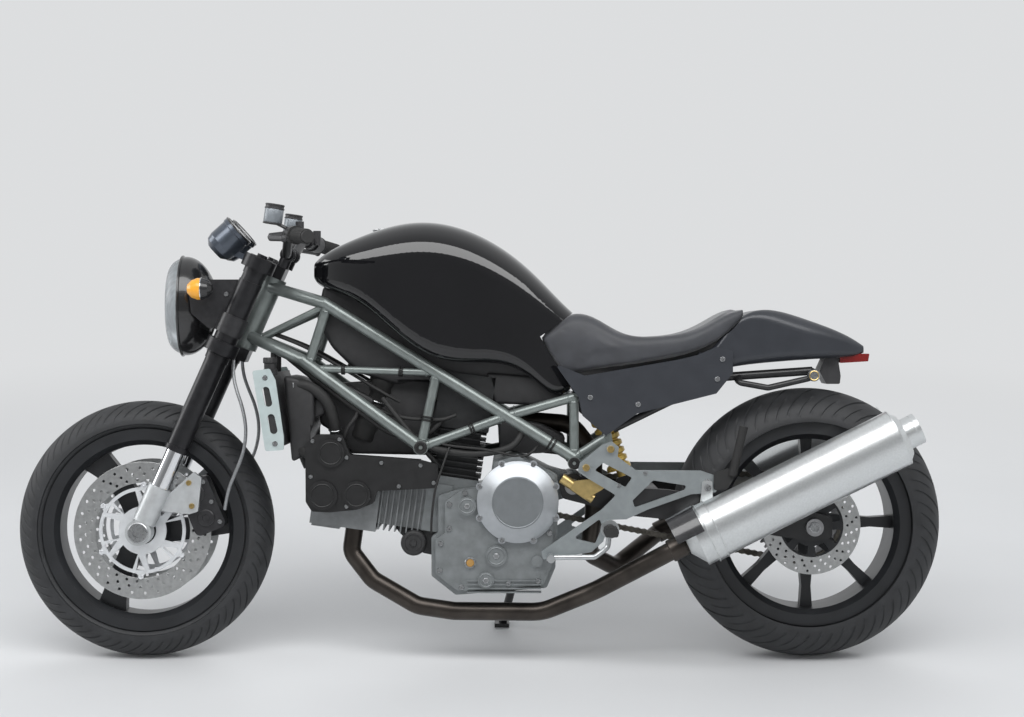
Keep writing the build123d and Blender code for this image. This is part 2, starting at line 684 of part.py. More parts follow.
def tail_cowl():
    """The hump behind the seat, and the side panels that run forward from it."""
    body = cowl_hump()
    body -= slab(outline(COWL_SEAM + [(1401, 900), (1240, 900)]), -200, 200)
    edge = [(958, 690), (1013, 612), (1022, 570), (1076, 524), (1148, 575), (1330, 621), (1368, 668), (1368, 720),
            (1330, 728), (1284, 709), (1237, 698), (1028, 662)]
    panel = slab(outline(edge, 4), -PANEL_INNER - PANEL_THICKNESS, -PANEL_INNER)
    # Mounting bosses that reach in to the rail under the seat
    for x in PANEL_BOSSES:
        rail = on_line(RAIL_START, RAIL_REAR, x)
        boss = across(x, rail[2], 8, -PANEL_INNER - 1, rail[1])
        panel += boss - rod(RAIL_START, RAIL_REAR, TAIL_TUBE + FIT)
    return body + panel + mirror(panel, about=Plane.XZ)


def tail_light():
    shape = outline([(1628, 690), (1694, 694), (1697, 712), (1628, 712)], 2)
    return slab(shape, -38, 38) - Pos(0, 0, -FIT) * cowl_hump()


def plate_bracket():
    arm = outline([(1580, 672), (1598, 712), (1622, 712), (1630, 660), (1628, 641), (1596, 641)], 4)
    return slab(arm, -36, 36) - Pos(0, 0, -FIT) * cowl_hump()


# Engine: a crankcase with two finned cylinders at right angles
def crankcase():
    case = outline([(690, 300), (690, 386), (741, 401), (808, 408), (816, 468), (873, 481), (964, 434),
                    (968, 380), (960, 219), (940, 172), (730, 156), (674, 200), (674, 290)], 8)
    body = slab(case, -CASE_HALF_WIDTH, CASE_HALF_WIDTH)
    cover = outline([(706, 300), (706, 372), (741, 398), (812, 408), (820, 464), (873, 478), (958, 432),
                     (952, 224), (932, 180), (736, 166), (684, 206), (684, 286)], 8)
    body += slab(cover, -CASE_HALF_WIDTH - SIDE_CASE, CASE_HALF_WIDTH)
    body += slab(outline([(684, 206), (684, 286), (720, 380), (800, 380), (830, 300), (820, 186), (736, 170)], 8),
                 0, CASE_HALF_WIDTH + SIDE_CASE)
    # Decks that the cylinders stand on
    body += FRONT_BORE * Pos(0, 0, 30) * Box(112, 150, 60)
    body += REAR_BORE * Pos(0, 0, 37.4) * Box(112, 130, 74.8)
    # Rear boss for the swingarm shaft
    body += across(PIVOT_X, PIVOT_Z, 30, -54, 54)
    body += slab(outline([(930, 360), (930, 450), (1000, 430), (1000, 380)]), -54, 54)
    body -= across(PIVOT_X, PIVOT_Z, PIVOT_RADIUS + FIT / 2, -60, 60)
    # Ribs along the sump
    for step in range(4):
        body += slab(Pos(842, 164 + 9 * step) * Rectangle(170, 3.5), -CASE_HALF_WIDTH - SIDE_CASE - 4, -CASE_HALF_WIDTH)
    # Lug for the side stand
    base = Plane(origin=STAND_PIVOT, z_dir=stand_axis())
    for end in (-1, 1):
        body += base * Pos(0, 0, end * (STAND_EYE / 2 + FIT + 4)) * Cylinder(16, 8)
    away = Vector(-0.62, -0.40, 0.62).normalized()
    behind = Vector(*STAND_PIVOT) + away * 28
    reach = stand_axis() * (STAND_EYE / 2 + FIT + 8)
    body += rod(tuple(behind - reach), tuple(behind + reach), 10)
    body += rod(tuple(behind), (behind.X + 6, CASE_HALF_WIDTH - 5, behind.Z + 8), 12)
    body += base * Cylinder(STAND_PIN, STAND_EYE + 12)
    # Filler cap, sump plug and blank caps on the near side
    # Each: x, z, radius and how far it stands out
    for x, z, radius, depth in [(824, 248, 24, 9), (800, 192, 19, 9), (757, 363, 21, 14), (918, 236, 13, 9)]:
        body += across(x, z, radius, -CASE_HALF_WIDTH - SIDE_CASE - depth, -CASE_HALF_WIDTH)
    return body


def clutch_cover():
    face = -CASE_HALF_WIDTH - SIDE_CASE - FIT
    profile = outline([(0, face), (CLUTCH_RADIUS, face), (CLUTCH_RADIUS, face - 12), (CLUTCH_RADIUS - 6, face - 16),
                       (CLUTCH_FLAT, face - CLUTCH_DEPTH), (0, face - CLUTCH_DEPTH)])
    cover = spin(profile, 873, 372)
    ear = across(CLUTCH_RADIUS, 0, 9, face - 12, face)
    for copy in turned(ear, 8, 873, 372, 22.5):
        cover += copy
    return cover


def belt_covers():
    edge = outline([(385, 506), (409, 526), (470, 526), (488, 480), (655, 468), (690, 458), (690, 404), (549, 397),
                    (542, 369), (503, 354), (441, 348), (400, 350), (386, 372)], 10)
    cover = slab(edge, -127, -CASE_HALF_WIDTH - SIDE_CASE - FIT) + slab(edge & Pos(500, 440) * Rectangle(300, 300), -127, -FRONT_HEAD_HALF - FIT)
    # Round housings over the pulleys: x, z and radius
    for x, z, radius in [(444, 484, 32), (425, 387, 34), (503, 388, 32)]:
        cover += across(x, z, radius, -134, -126)
    return cover


def finned(bore_plane, low, high, half_x, half_y, count):
    """A cylinder barrel with square cooling fins along its bore."""
    core = bore_plane * Pos(0, 0, (low + high) / 2) * Box(2 * half_x - 26, 2 * half_y - 26, high - low)
    pitch = (high - low) / count
    for number in range(count):
        fin = Box(2 * half_x, 2 * half_y, 3.2)
        core += bore_plane * Pos(0, 0, low + pitch * (number + 0.5)) * fin
    return core


CYLINDER_LOW = 60.0 + FIT
FRONT_HEAD_HALF = 86.0
FRONT_CYLINDER_HIGH = 165.0
FRONT_HEAD_HIGH = 318.0
REAR_CYLINDER_LOW = 75.0
REAR_CYLINDER_HIGH = 190.0
REAR_HEAD_HIGH = 318.0


def cylinder_head(bore_plane, low, high, half_x, half_y):
    head = bore_plane * Pos(0, 0, (low + high) / 2) * Box(2 * half_x - 12, 2 * half_y, high - low - 1)
    # Four valve covers on the sides of the head
    for side in (-1, 1):
        for shift in (-34, 34):
            place = Pos(side * (half_x - 8), shift, high - 36)
            head += bore_plane * place * Box(20, 48, 66)
    return head


def front_cylinder():
    body = finned(FRONT_BORE, CYLINDER_LOW, FRONT_CYLINDER_HIGH, 68, 84, 8)
    return body + cylinder_head(FRONT_BORE, FRONT_CYLINDER_HIGH - 2, FRONT_HEAD_HIGH, 80, FRONT_HEAD_HALF)


def rear_cylinder():
    body = finned(REAR_BORE, REAR_CYLINDER_LOW, REAR_CYLINDER_HIGH, 61, 72, 8)
    return body + cylinder_head(REAR_BORE, REAR_CYLINDER_HIGH - 2, REAR_HEAD_HIGH, 70, 74)


# Radiator: a core between two cut-out side plates
RADIATOR_LEAN = 9.3
RADIATOR_MIDDLE = (316.0, 585.0)
RADIATOR_HEIGHT = 168.0
RADIATOR_DEPTH = 28.0
PLATE_INNER = 168.0
PLATE_THICKNESS = 4.0
RADIATOR_POST = (303.0, -47.6)


def radiator_plate():
    edge = outline([(269, 674), (309, 679), (322, 653), (341, 523), (341, 494), (299, 491)], 5)
    for x, z in [(303, 615), (315, 553)]:
        edge -= Pos(x, z) * Rot(0, 0, 12) * SlotOverall(46, 17, rotation=90)
    for x, z in [(298, 658), (321, 508)]:
        edge -= Pos(x, z) * Circle(6)
    return slab(edge, -PLATE_INNER - PLATE_THICKNESS, -PLATE_INNER)


def radiator():
    x, z = RADIATOR_MIDDLE
    core = Pos(x, 0, z) * Rot(0, -RADIATOR_LEAN, 0) * Box(RADIATOR_DEPTH, 2 * (PLATE_INNER - FIT), RADIATOR_HEIGHT)
    hose = bent_tube([(322, 100, 520), (350, 100, 488), (372, 92, 440)], 14, 18)
    # Mounting posts up to the lower frame tubes
    post_x, post_y = RADIATOR_POST
    tube_height = on_line(LOW_HEAD, LOW_BEND, post_x)[2]
    post = rod((post_x, post_y, z + RADIATOR_HEIGHT / 2 - 12), (post_x, post_y, tube_height - 3), 7)
    post -= rod(LOW_HEAD, LOW_BEND, MAIN_TUBE + FIT)
    return core + hose + post + mirror(post, about=Plane.XZ)


# Exhaust: one pipe under the engine, one behind it, and a silencer each side
FRONT_PORT = FRONT_BORE.from_local_coords(Vector(-74 - FIT, -38, 215))
FRONT_PORT_RUN = FRONT_BORE.from_local_coords(Vector(-132, -38, 215))
REAR_PORT = REAR_BORE.from_local_coords(Vector(64 + FIT, 33, 226))
REAR_PORT_RUN = REAR_BORE.from_local_coords(Vector(150, 33, 226))
NEAR_PIPE = [
    tuple(FRONT_PORT),
    tuple(FRONT_PORT_RUN),
    (535, -50, 185),
    (640, -64, 126),
    (725, -70, 114),
    (930, -85, 114),
    (1055, -110, 168),
]
FAR_PIPE = [
    tuple(REAR_PORT),
    tuple(REAR_PORT_RUN),
    (1000, 33, 545),
    (1054, 33, 476),
    (1054, 33, 330),
    (1042, 46, 236),
    (1108, 112, 196),
]
SILENCER_FRONT = (1275.0, 297.0)
SILENCER_RISE = 26.45
SILENCER_LENGTH = 509.0
SILENCER_CONE = 24.0


def header_pipes():
    near_end = silencer_plane(-1)
    far_end = silencer_plane(1)
    run = Vector(0, 0, -SILENCER_CONE - 36)
    stop = Vector(0, 0, -SILENCER_CONE - FIT)
    near_path = NEAR_PIPE + [tuple(near_end.from_local_coords(run)), tuple(near_end.from_local_coords(stop))]
    far_path = FAR_PIPE + [tuple(far_end.from_local_coords(run)), tuple(far_end.from_local_coords(stop))]
    near = bent_tube(near_path, PIPE_RADIUS, [34, 50, 70, 70, 120, 110, 40])
    far = bent_tube(far_path, PIPE_RADIUS, [90, 60, 60, 60, 34, 50, 40])
    return Compound([near, far])


def silencer_plane(side):
    rise = math.radians(SILENCER_RISE)
    return Plane(origin=(SILENCER_FRONT[0], side * SILENCER_PLANE, SILENCER_FRONT[1]),
                 x_dir=(math.sin(rise), 0, -math.cos(rise)), z_dir=(math.cos(rise), 0, math.sin(rise)))


def silencer():
    base = silencer_plane(-1)
    height = SILENCER_HEIGHT
    width = SILENCER_WIDTH
    body = extrude(Plane.XY * Ellipse(height, width), amount=SILENCER_LENGTH)
    front = loft([Plane.XY.offset(-SILENCER_CONE) * Ellipse(PIPE_RADIUS + 5, PIPE_RADIUS + 5), Plane.XY * Ellipse(height - 5, width - 5)])
    rear = loft([Plane.XY.offset(SILENCER_LENGTH) * Ellipse(height - 4, width - 4),
                 Plane.XY.offset(SILENCER_LENGTH + 14) * Ellipse(height - 18, width - 18)])
    outlet = Pos(0, 0, SILENCER_LENGTH + 10) * Cylinder(36, 40, align=(Align.CENTER, Align.CENTER, Align.MIN))
    outlet -= Pos(0, 0, SILENCER_LENGTH + 16) * Cylinder(32, 40, align=(Align.CENTER, Align.CENTER, Align.MIN))
    can = base * (body + front + rear + outlet)
    band = base * (Pos(0, 0, 26) * extrude(Plane.XY * (Ellipse(height + 2.5, width + 2.5)), amount=24))
    lug = slab(outline([(1286, 345), (1294, 424), (1316, 424), (1318, 350)], 6), -167, -REARSET_INNER - REARSET_THICKNESS - FIT)
    return can + band + lug


def heat_shield():
    base = silencer_plane(-1)
    outer = Ellipse(SILENCER_HEIGHT + 9, SILENCER_WIDTH + 9) - Ellipse(SILENCER_HEIGHT + 5, SILENCER_WIDTH + 5)
    keep = Pos(-60, -50) * Rectangle(90, 70)
    shield = Pos(0, 0, -44) * extrude(Plane.XY * (outer & keep), amount=66)
    pad = Ellipse(SILENCER_HEIGHT + 6, SILENCER_WIDTH + 6) - Ellipse(SILENCER_HEIGHT + FIT, SILENCER_WIDTH + FIT)
    shield += Pos(0, 0, 6) * extrude(Plane.XY * (pad & keep), amount=10)
    return base * shield


# Foot-rest plates with their windows, pegs and pedals
PEG_X = 1083.0
PEG_Z = 313.0


def rearset_plate():
    edge = outline([(1087, 513), (1066, 505), (1015, 464), (1010, 444), (1027, 432), (1097, 390), (1064, 357), (927, 262),
                    (931, 243), (1041, 260), (1068, 284), (1084, 334), (1121, 335), (1169, 357), (1268, 392), (1326, 397),
                    (1332, 432), (1291, 446), (1143, 447), (1101, 478), (1104, 500)], 4)
    edge -= outline([(1068, 464), (1134, 430), (1119, 408), (1048, 447)], 4)
    edge -= outline([(1182, 424), (1258, 412), (1254, 402), (1140, 362), (1135, 378)], 4)
    edge -= outline([(1000, 292), (1060, 336), (1066, 318), (1050, 280)], 4)
    y_low = -REARSET_INNER - REARSET_THICKNESS
    plate = slab(edge, y_low, -REARSET_INNER)
    # Spacers back to the frame: x and z
    for x, z in [(1085, 495), (1029, 453)]:
        plate += across(x, z, 11, -REARSET_INNER - 1, -117 - FIT)
        plate += across(x, z, 12, y_low - 4, y_low + 1)
    plate += across(1306, 418, 13, y_low + 1, -REARSET_INNER + 6)
    return plate


def rider_peg():
    start = -REARSET_INNER - REARSET_THICKNESS - FIT
    peg = across(PEG_X, PEG_Z, 12, start - 40, start)
    peg += slab(Pos(PEG_X, PEG_Z) * RectangleRounded(30, 20, 5), start - 94, start - 30)
    return peg


def passenger_peg():
    y = -REARSET_INNER - REARSET_THICKNESS - 10
    hinge = slab(outline([(1320, 402), (1320, 440), (1352, 452), (1372, 440), (1350, 404)], 5), y - 2, y + 10 - FIT)
    return hinge + rod((1362, y - 2, 436), (1386, y - 14, 548), 10)


def pedal():
    y = -REARSET_INNER - REARSET_THICKNESS - FIT
    ring_part = across(PEG_X, PEG_Z, 21, y - 12, y) - across(PEG_X, PEG_Z, 12 + FIT, y - 13, y + 1)
    arm = bent_tube([(PEG_X - 2, y - 6, PEG_Z - 17), (1078, y - 8, 272), (1048, y - 20, 251), (948, y - 26, 251)], 6, 14)
    toe = across(948, 251, 9, y - 62, y - 20)
    return ring_part + arm + toe


def master_cylinder():
    body = rod((974, -134, 428), (1046, -134, 380), 12)
    body += rod((1010, -134, 404), (1020, -134, 419), 9)
    return body + slab(outline([(992, 404), (1004, 422), (1056, 428), (1078, 412), (1066, 402), (1028, 380)]), -REARSET_INNER + FIT, -138)


BOBBIN_X = 1478.0
BOBBIN_Z = 318.0
BOBBIN_HOLE = 3.4
BOBBIN_HOLE_DEPTH = 14.0


# Swingarm: two yokes on the pivot, a cross box, and an arm each side to the axle
def swingarm():
    # The upper and lower edge of each arm in side view
    arm = outline([(1090, 408), (1215, 402), (1545, 350), (1592, 340), (1592, 292), (1545, 284), (1215, 334), (1090, 346)], 8)
    body = slab(arm, ARM_INNER, ARM_INNER + ARM_THICKNESS)
    body += slab(outline([(1090, 396), (1200, 398), (1214, 384), (1214, 350), (1200, 336), (1090, 346)], 6), -1, ARM_INNER + 2)
    body += slab(outline([(975, 436), (1100, 408), (1100, 346), (975, 378)], 10), 60, 94)
    body += across(PIVOT_X, PIVOT_Z, 30, 60, 94)
    body -= across(PIVOT_X, PIVOT_Z, PIVOT_RADIUS + FIT / 2, 50, 120)
    body -= across(WHEELBASE, REAR_AXLE_Z, REAR_AXLE_RADIUS + FIT / 2, 100, 200)
    # Threaded hole for a lifting-stand bobbin, in the outer face
    reach = ARM_INNER + ARM_THICKNESS
    body -= across(BOBBIN_X, BOBBIN_Z, BOBBIN_HOLE, reach - BOBBIN_HOLE_DEPTH, reach + 1)
    half = body & Pos(1300, 500, 400) * Box(2000, 1000, 1000)
    # Seat for the lower end of the shock absorber
    lug = slab(outline([(1096, 394), (1106.7, 419.8), (1129.5, 427.6), (1142, 394)]), -34, -14)
    return half + mirror(half, about=Plane.XZ) + lug


def pivot_shaft():
    shaft = across(PIVOT_X, PIVOT_Z, PIVOT_RADIUS, -98, 98)
    return shaft + across(PIVOT_X, PIVOT_Z, 18, -102, -94 - FIT) + across(PIVOT_X, PIVOT_Z, 18, 94 + FIT, 102)


def rear_axle():
    reach = ARM_INNER + ARM_THICKNESS
    axle = across(WHEELBASE, REAR_AXLE_Z, REAR_AXLE_RADIUS, -reach - 4, reach + 4)
    for side in (-1, 1):
        near = side * (reach + FIT)
        far = side * (reach + 12)
        axle += across(WHEELBASE, REAR_AXLE_Z, 20, min(near, far), max(near, far))
        inner = side * 101.0
        arm = side * (ARM_INNER - FIT)
        if side < 0:
            axle += across(WHEELBASE, REAR_AXLE_Z, 19, arm, inner)
    axle += across(WHEELBASE, REAR_AXLE_Z, 19, 126.5, ARM_INNER - FIT)
    return axle


def shock_absorber():
    lower = Vector(1118, -24, 424)
    upper = Vector(1062, -24, 588)
    axis = (upper - lower).normalized()
    length = (upper - lower).length
    profile = [(0, 0), (9, 0), (9, 16), (29, 18), (29, 24)]
    coils = 6
    pitch = (length - 64) / coils
    for number in range(coils):
        base = 24 + pitch * number
        profile += [(27, base + pitch * 0.3), (20, base + pitch * 0.5), (20, base + pitch * 0.6), (27, base + pitch * 0.8)]
    profile += [(29, length - 40), (29, length - 30), (18, length - 28), (18, length - 10), (9, length - 8), (9, length), (0, length)]
    body = revolve(Plane.XZ * make_face(Polyline(*profile, close=True)), axis=Axis.Z)
    return Plane(origin=tuple(lower), z_dir=axis) * body


def rear_caliper():
    block = caliper(148, 98, 62, 96, REAR_DISC_PLANE, 22, 22, REAR_DISC_RADIUS, WHEELBASE, REAR_AXLE_Z)
    arm = outline([(1480, 340), (1470, 372), (1551, 342), (1575, 316), (1551, 290), (1530, 300)], 5)
    hanger = slab(arm, -128, -112) + across(WHEELBASE, REAR_AXLE_Z, 30, -128, -112)
    hanger -= across(WHEELBASE, REAR_AXLE_Z, 19 + FIT, -140, -100)
    return block + hanger


# Chain and sprockets
ROLLER_RADIUS = 5.08
TOOTH_HEIGHT = 3.2
ROLLERS_SPARED = 3


def sprocket_radius(teeth):
    return CHAIN_PITCH / (2 * math.sin(math.pi / teeth))


def toothed(teeth, plane, thickness, x, z):
    """A sprocket disc with pointed teeth and a rounded seat between them."""
    pitch_radius = sprocket_radius(teeth)
    step = math.radians(360.0 / teeth)
    points = []
    # Share of one tooth's angle, and height over the pitch line
    tooth_form = [(-0.5, -ROLLER_RADIUS), (-0.28, -3.6), (-0.12, TOOTH_HEIGHT), (0.12, TOOTH_HEIGHT), (0.28, -3.6)]
    for number in range(teeth):
        for share, height in tooth_form:
            angle = (number + share) * step
            radius = pitch_radius + height
            points.append((x + radius * math.cos(angle), z + radius * math.sin(angle)))
    return slab(outline(points), plane - thickness / 2, plane + thickness / 2)


def rear_sprocket():
    pitch_radius = sprocket_radius(REAR_TEETH)
    body = toothed(REAR_TEETH, CHAIN_PLANE, SPROCKET_THICKNESS, WHEELBASE, REAR_AXLE_Z)
    low = CHAIN_PLANE - SPROCKET_THICKNESS / 2
    for copy in turned(across(70, 0, 15, low - 1, low + SPROCKET_THICKNESS + 1), 6, WHEELBASE, REAR_AXLE_Z):
        body -= copy
    body += across(WHEELBASE, REAR_AXLE_Z, 52, REAR_HUB_HALF + FIT, CHAIN_PLANE + 3)
    return body - across(WHEELBASE, REAR_AXLE_Z, REAR_AXLE_RADIUS + FIT, 90, 130)


CHAIN_HALF_HEIGHT = 7.5
CHAIN_HALF_WIDTH = 8.0
CHAIN_WAIST = 5.2
CHAIN_SLOT = 4.0


def chain():
    """Two rows of waisted side plates round both sprockets, joined by rollers on the straight runs."""
    big = sprocket_radius(REAR_TEETH)
    small = sprocket_radius(FRONT_TEETH)
    run_x = WHEELBASE - SPROCKET_X
    run_z = REAR_AXLE_Z - SPROCKET_Z
    distance = math.hypot(run_x, run_z)
    tilt = math.atan2(run_z, run_x)
    # Angle between each straight run and the line through the two centres
    slope = math.asin((big - small) / distance)
    straight = distance * math.cos(slope)
    lower = tilt - math.pi / 2 - slope
    upper = tilt + math.pi / 2 + slope
    # Each stretch of the loop: its length, and the point and outward angle at a distance along it
    stretches = [
        (straight, lambda s: (SPROCKET_X, SPROCKET_Z, small, lower, s)),
        (big * (math.pi + 2 * slope), lambda s: (WHEELBASE, REAR_AXLE_Z, big, lower + s / big, 0)),
        (straight, lambda s: (WHEELBASE, REAR_AXLE_Z, big, upper, s)),
        (small * (math.pi - 2 * slope), lambda s: (SPROCKET_X, SPROCKET_Z, small, upper + s / small, 0)),
    ]
    loop_length = sum(length for length, place in stretches)
    links = 2 * round(loop_length / CHAIN_PITCH / 2)
    outer = []
    inner = []
    rollers = []
    for half_link in range(2 * links):
        far = half_link * loop_length / (2 * links)
        number = 0
        while far >= stretches[number][0]:
            far -= stretches[number][0]
            number += 1
        x, z, radius, angle, run = stretches[number][1](far)
        eye = half_link % 2 == 0
        reach = CHAIN_HALF_HEIGHT if eye else CHAIN_WAIST

        def point(height):
            return (x + (radius + height) * math.cos(angle) - run * math.sin(angle),
                    z + (radius + height) * math.sin(angle) + run * math.cos(angle))

        outer.append(point(reach))
        inner.append(point(-reach))
        clear_of_teeth = ROLLERS_SPARED * CHAIN_PITCH < far < stretches[number][0] - ROLLERS_SPARED * CHAIN_PITCH
        if eye and number in (0, 2) and clear_of_teeth:
            rollers.append(point(0))
    loop = outline(outer) - outline(inner)
    body = slab(loop, CHAIN_PLANE - CHAIN_HALF_WIDTH, CHAIN_PLANE - CHAIN_SLOT)
    rows = [slab(loop, CHAIN_PLANE + CHAIN_SLOT, CHAIN_PLANE + CHAIN_HALF_WIDTH)]
    for place in rollers:
        roller = Pos(*place) * RegularPolygon(ROLLER_RADIUS, 6)
        rows.append(slab(roller, CHAIN_PLANE - CHAIN_SLOT, CHAIN_PLANE + CHAIN_SLOT))
    return body.fuse(*rows)


def drive_sprocket():
    body = toothed(FRONT_TEETH, CHAIN_PLANE, SPROCKET_THICKNESS, SPROCKET_X, SPROCKET_Z)
    return body + across(SPROCKET_X, SPROCKET_Z, 16, CASE_HALF_WIDTH + FIT, CHAIN_PLANE + 8)


def sprocket_cover():
    face = CASE_HALF_WIDTH + FIT
    cover = across(SPROCKET_X, SPROCKET_Z, 62, face, 136)
    cover -= across(SPROCKET_X, SPROCKET_Z, 54, face - 1, 130)
    return cover - slab(Pos(SPROCKET_X + 50, SPROCKET_Z) * Rectangle(100, 200), face - 1, 140)


# Side stand on the far side: a leg from the pivot to a flat foot on the ground
def side_stand():
    foot = Vector(STAND_FOOT_X, STAND_FOOT_Y, STAND_FOOT_Y * LEAN_TAN)
    pivot = Vector(*STAND_PIVOT)
    direction = (foot - pivot).normalized()
    leg = rod(tuple(pivot + direction * 12), tuple(foot - direction * 6), 10)
    normal = Vector(0, -LEAN_TAN, 1).normalized()
    pad = Plane(origin=tuple(foot), z_dir=normal) * Pos(0, 0, 5) * Box(48, 36, 10)
    eye = Plane(origin=STAND_PIVOT, z_dir=stand_axis()) * Cylinder(15, STAND_EYE)
    bore = Plane(origin=STAND_PIVOT, z_dir=stand_axis()) * Cylinder(STAND_PIN + FIT, STAND_EYE + 8)
    return leg + pad + eye - bore


def stand_axis():
    foot = Vector(STAND_FOOT_X, STAND_FOOT_Y, STAND_FOOT_Y * LEAN_TAN)
    down = (foot - Vector(*STAND_PIVOT)).normalized()
    folded = Vector(*STAND_FOLDED).normalized()
    return down.cross(folded).normalized()


NODES = {
    "frame_near": frame_side(),
    "frame_far": mirror(frame_side(), about=Plane.XZ),
    "head_tube": head_tube(),
    "fuel_tank": fuel_tank(),
    "seat_pad": seat_pad(),
    "tail_cowl": tail_cowl(),
    "crankcase": crankcase(),
    "clutch_cover": clutch_cover(),
    "belt_covers": belt_covers(),
    "front_cylinder": front_cylinder(),
    "rear_cylinder": rear_cylinder(),
    "header_pipes": header_pipes(),
    "silencers": pair(silencer()),
    "heat_shields": pair(heat_shield()),
    "radiator": radiator(),
    "radiator_plates": pair(radiator_plate()),
    "rearset_plates": pair(rearset_plate()),
    "foot_pegs": Compound([rider_peg(), passenger_peg(), mirror(rider_peg(), about=Plane.XZ),
                           mirror(passenger_peg(), about=Plane.XZ)]),
    "foot_pedals": pair(pedal()),
    "rear_master_cylinder": master_cylinder(),
    "swingarm": swingarm(),
    "pivot_shaft": pivot_shaft(),
    "rear_axle": rear_axle(),
    "shock_absorber": shock_absorber(),
    "rear_caliper": rear_caliper(),
    "chain": chain(),
    "drive_sprocket": drive_sprocket(),
    "sprocket_cover": sprocket_cover(),
    "tail_light": tail_light(),
    "plate_bracket": plate_bracket(),
    "tail_frame": tail_frame(),
    "fork_feet": pair(fork_foot()),
    "fork_stanchions": pair(leg_bar(STANCHION_RADIUS, FOOT_TOP + FIT, SLIDER_TOP - FIT)),
    "fork_tubes": pair(fork_outer()),
    "lower_yoke": lower_yoke(),
    "upper_yoke": upper_yoke(),
    "handlebar": handlebar(),
    "hand_controls": pair(lever() + reservoir()),
    "gauges": pair(gauge()),
    "headlight_shell": headlight_shell(),
    "headlight_lens": headlight_lens(),
    "headlight_brackets": pair(headlight_bracket()),
    "indicators": pair(indicator()),
    "front_calipers": pair(front_caliper()),
    "brake_hose_near": brake_hose(),
    "brake_hose_far": mirror(brake_hose(), about=Plane.XZ),
    "front_axle": front_axle(),
    "front_tyre": tyre(FRONT_REACH, FRONT_TYRE_WIDTH, FRONT_TYRE_CROWN, FRONT_RIM_WIDTH, 0, FRONT_AXLE_Z),
    "front_rim": rim(0, FRONT_AXLE_Z, FRONT_RIM_WIDTH, FRONT_HUB_RADIUS, -FRONT_HUB_HALF, FRONT_HUB_HALF, FRONT_AXLE_RADIUS + FIT,
                     broad_spoke(), 3, 0),
    "front_discs": pair(front_disc()),
    "front_carriers": pair(front_carrier()),
    "rear_tyre": tyre(REAR_REACH, REAR_TYRE_WIDTH, REAR_TYRE_CROWN, REAR_RIM_WIDTH, WHEELBASE, REAR_AXLE_Z),
    "rear_rim": rim(WHEELBASE, REAR_AXLE_Z, REAR_RIM_WIDTH, REAR_HUB_RADIUS, -REAR_HUB_HALF, REAR_HUB_HALF, REAR_AXLE_RADIUS + FIT,
                    thin_spoke(), 8, 0),
    "rear_disc": rear_disc(),
    "rear_sprocket": rear_sprocket(),
    "side_stand": side_stand(),
}
sleeve, cap = grip()
NODES["grips"] = Compound([sleeve, cap, mirror(sleeve, about=Plane.XZ), mirror(cap, about=Plane.XZ)])

# The finished machine leans on its stand, and its box is centred over the origin
CENTRE_X = (REAR_REACH + WHEELBASE - FRONT_REACH) / 2
CENTRE_Y = 150.0
PARK = Pos(-CENTRE_X, -CENTRE_Y, 0) * Rot(-LEAN, 0, 0)

os.makedirs("parts", exist_ok=True)
for name, shape in NODES.items():
    export_step(PARK * shape, "parts/" + name + ".step")
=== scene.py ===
import math

import bmesh
import bpy
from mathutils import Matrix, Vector


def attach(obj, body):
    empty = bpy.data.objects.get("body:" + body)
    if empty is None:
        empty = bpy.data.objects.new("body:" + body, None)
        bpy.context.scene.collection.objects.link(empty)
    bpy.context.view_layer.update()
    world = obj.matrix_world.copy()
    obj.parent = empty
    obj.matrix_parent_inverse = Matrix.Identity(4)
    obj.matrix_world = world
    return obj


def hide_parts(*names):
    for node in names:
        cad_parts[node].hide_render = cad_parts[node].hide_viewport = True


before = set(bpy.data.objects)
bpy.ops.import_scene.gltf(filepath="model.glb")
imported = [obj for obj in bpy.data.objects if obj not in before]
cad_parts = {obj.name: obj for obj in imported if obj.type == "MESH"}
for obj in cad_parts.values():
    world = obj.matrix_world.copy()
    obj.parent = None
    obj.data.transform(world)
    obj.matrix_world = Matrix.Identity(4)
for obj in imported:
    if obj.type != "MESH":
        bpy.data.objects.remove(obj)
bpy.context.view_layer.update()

# The camera stands square to the near side of the leaning machine, at about 4.7 m,
# with a lens of 70 mm. Everything below is measured upright, in millimetres from the
# front axle's line and the ground, and parked() leans it onto the side stand.
LEAN = math.radians(9.0)


def parked(x, y, z):
    """A point of the upright machine, in mm, where it is on the leaning one, in metres."""
    return Vector((x - 783.0,
                   y * math.cos(LEAN) + z * math.sin(LEAN) - 150.0,
                   -y * math.sin(LEAN) + z * math.cos(LEAN))) / 1000


camera_data = bpy.data.cameras.new("side_camera")
camera_data.lens = 70.0
camera_data.sensor_width = 36.0
camera_data.shift_y = -0.021
camera = bpy.data.objects.new("side_camera", camera_data)
camera.location = parked(860, -4700, 751)
camera.rotation_euler = (math.radians(90) - LEAN, 0, 0)
bpy.context.collection.objects.link(camera)
bpy.context.scene.camera = camera
bpy.context.scene.view_settings.view_transform = "Standard"


# Brake hoses: braided lines of 8 mm from each front caliper up to the lower yoke,
# held at both ends, with a little slack for the fork's travel.
def add_node(tree, kind, inputs=None, **settings):
    """A new shader node with its settings and the values of its sockets."""
    node = tree.nodes.new("ShaderNode" + kind)
    for name, value in settings.items():
        setattr(node, name, value)
    for name, value in (inputs or {}).items():
        node.inputs[name].default_value = value
    return node


def wire(tree, *pairs):
    """Links from outputs to inputs."""
    for output, socket in pairs:
        tree.links.new(output, socket)


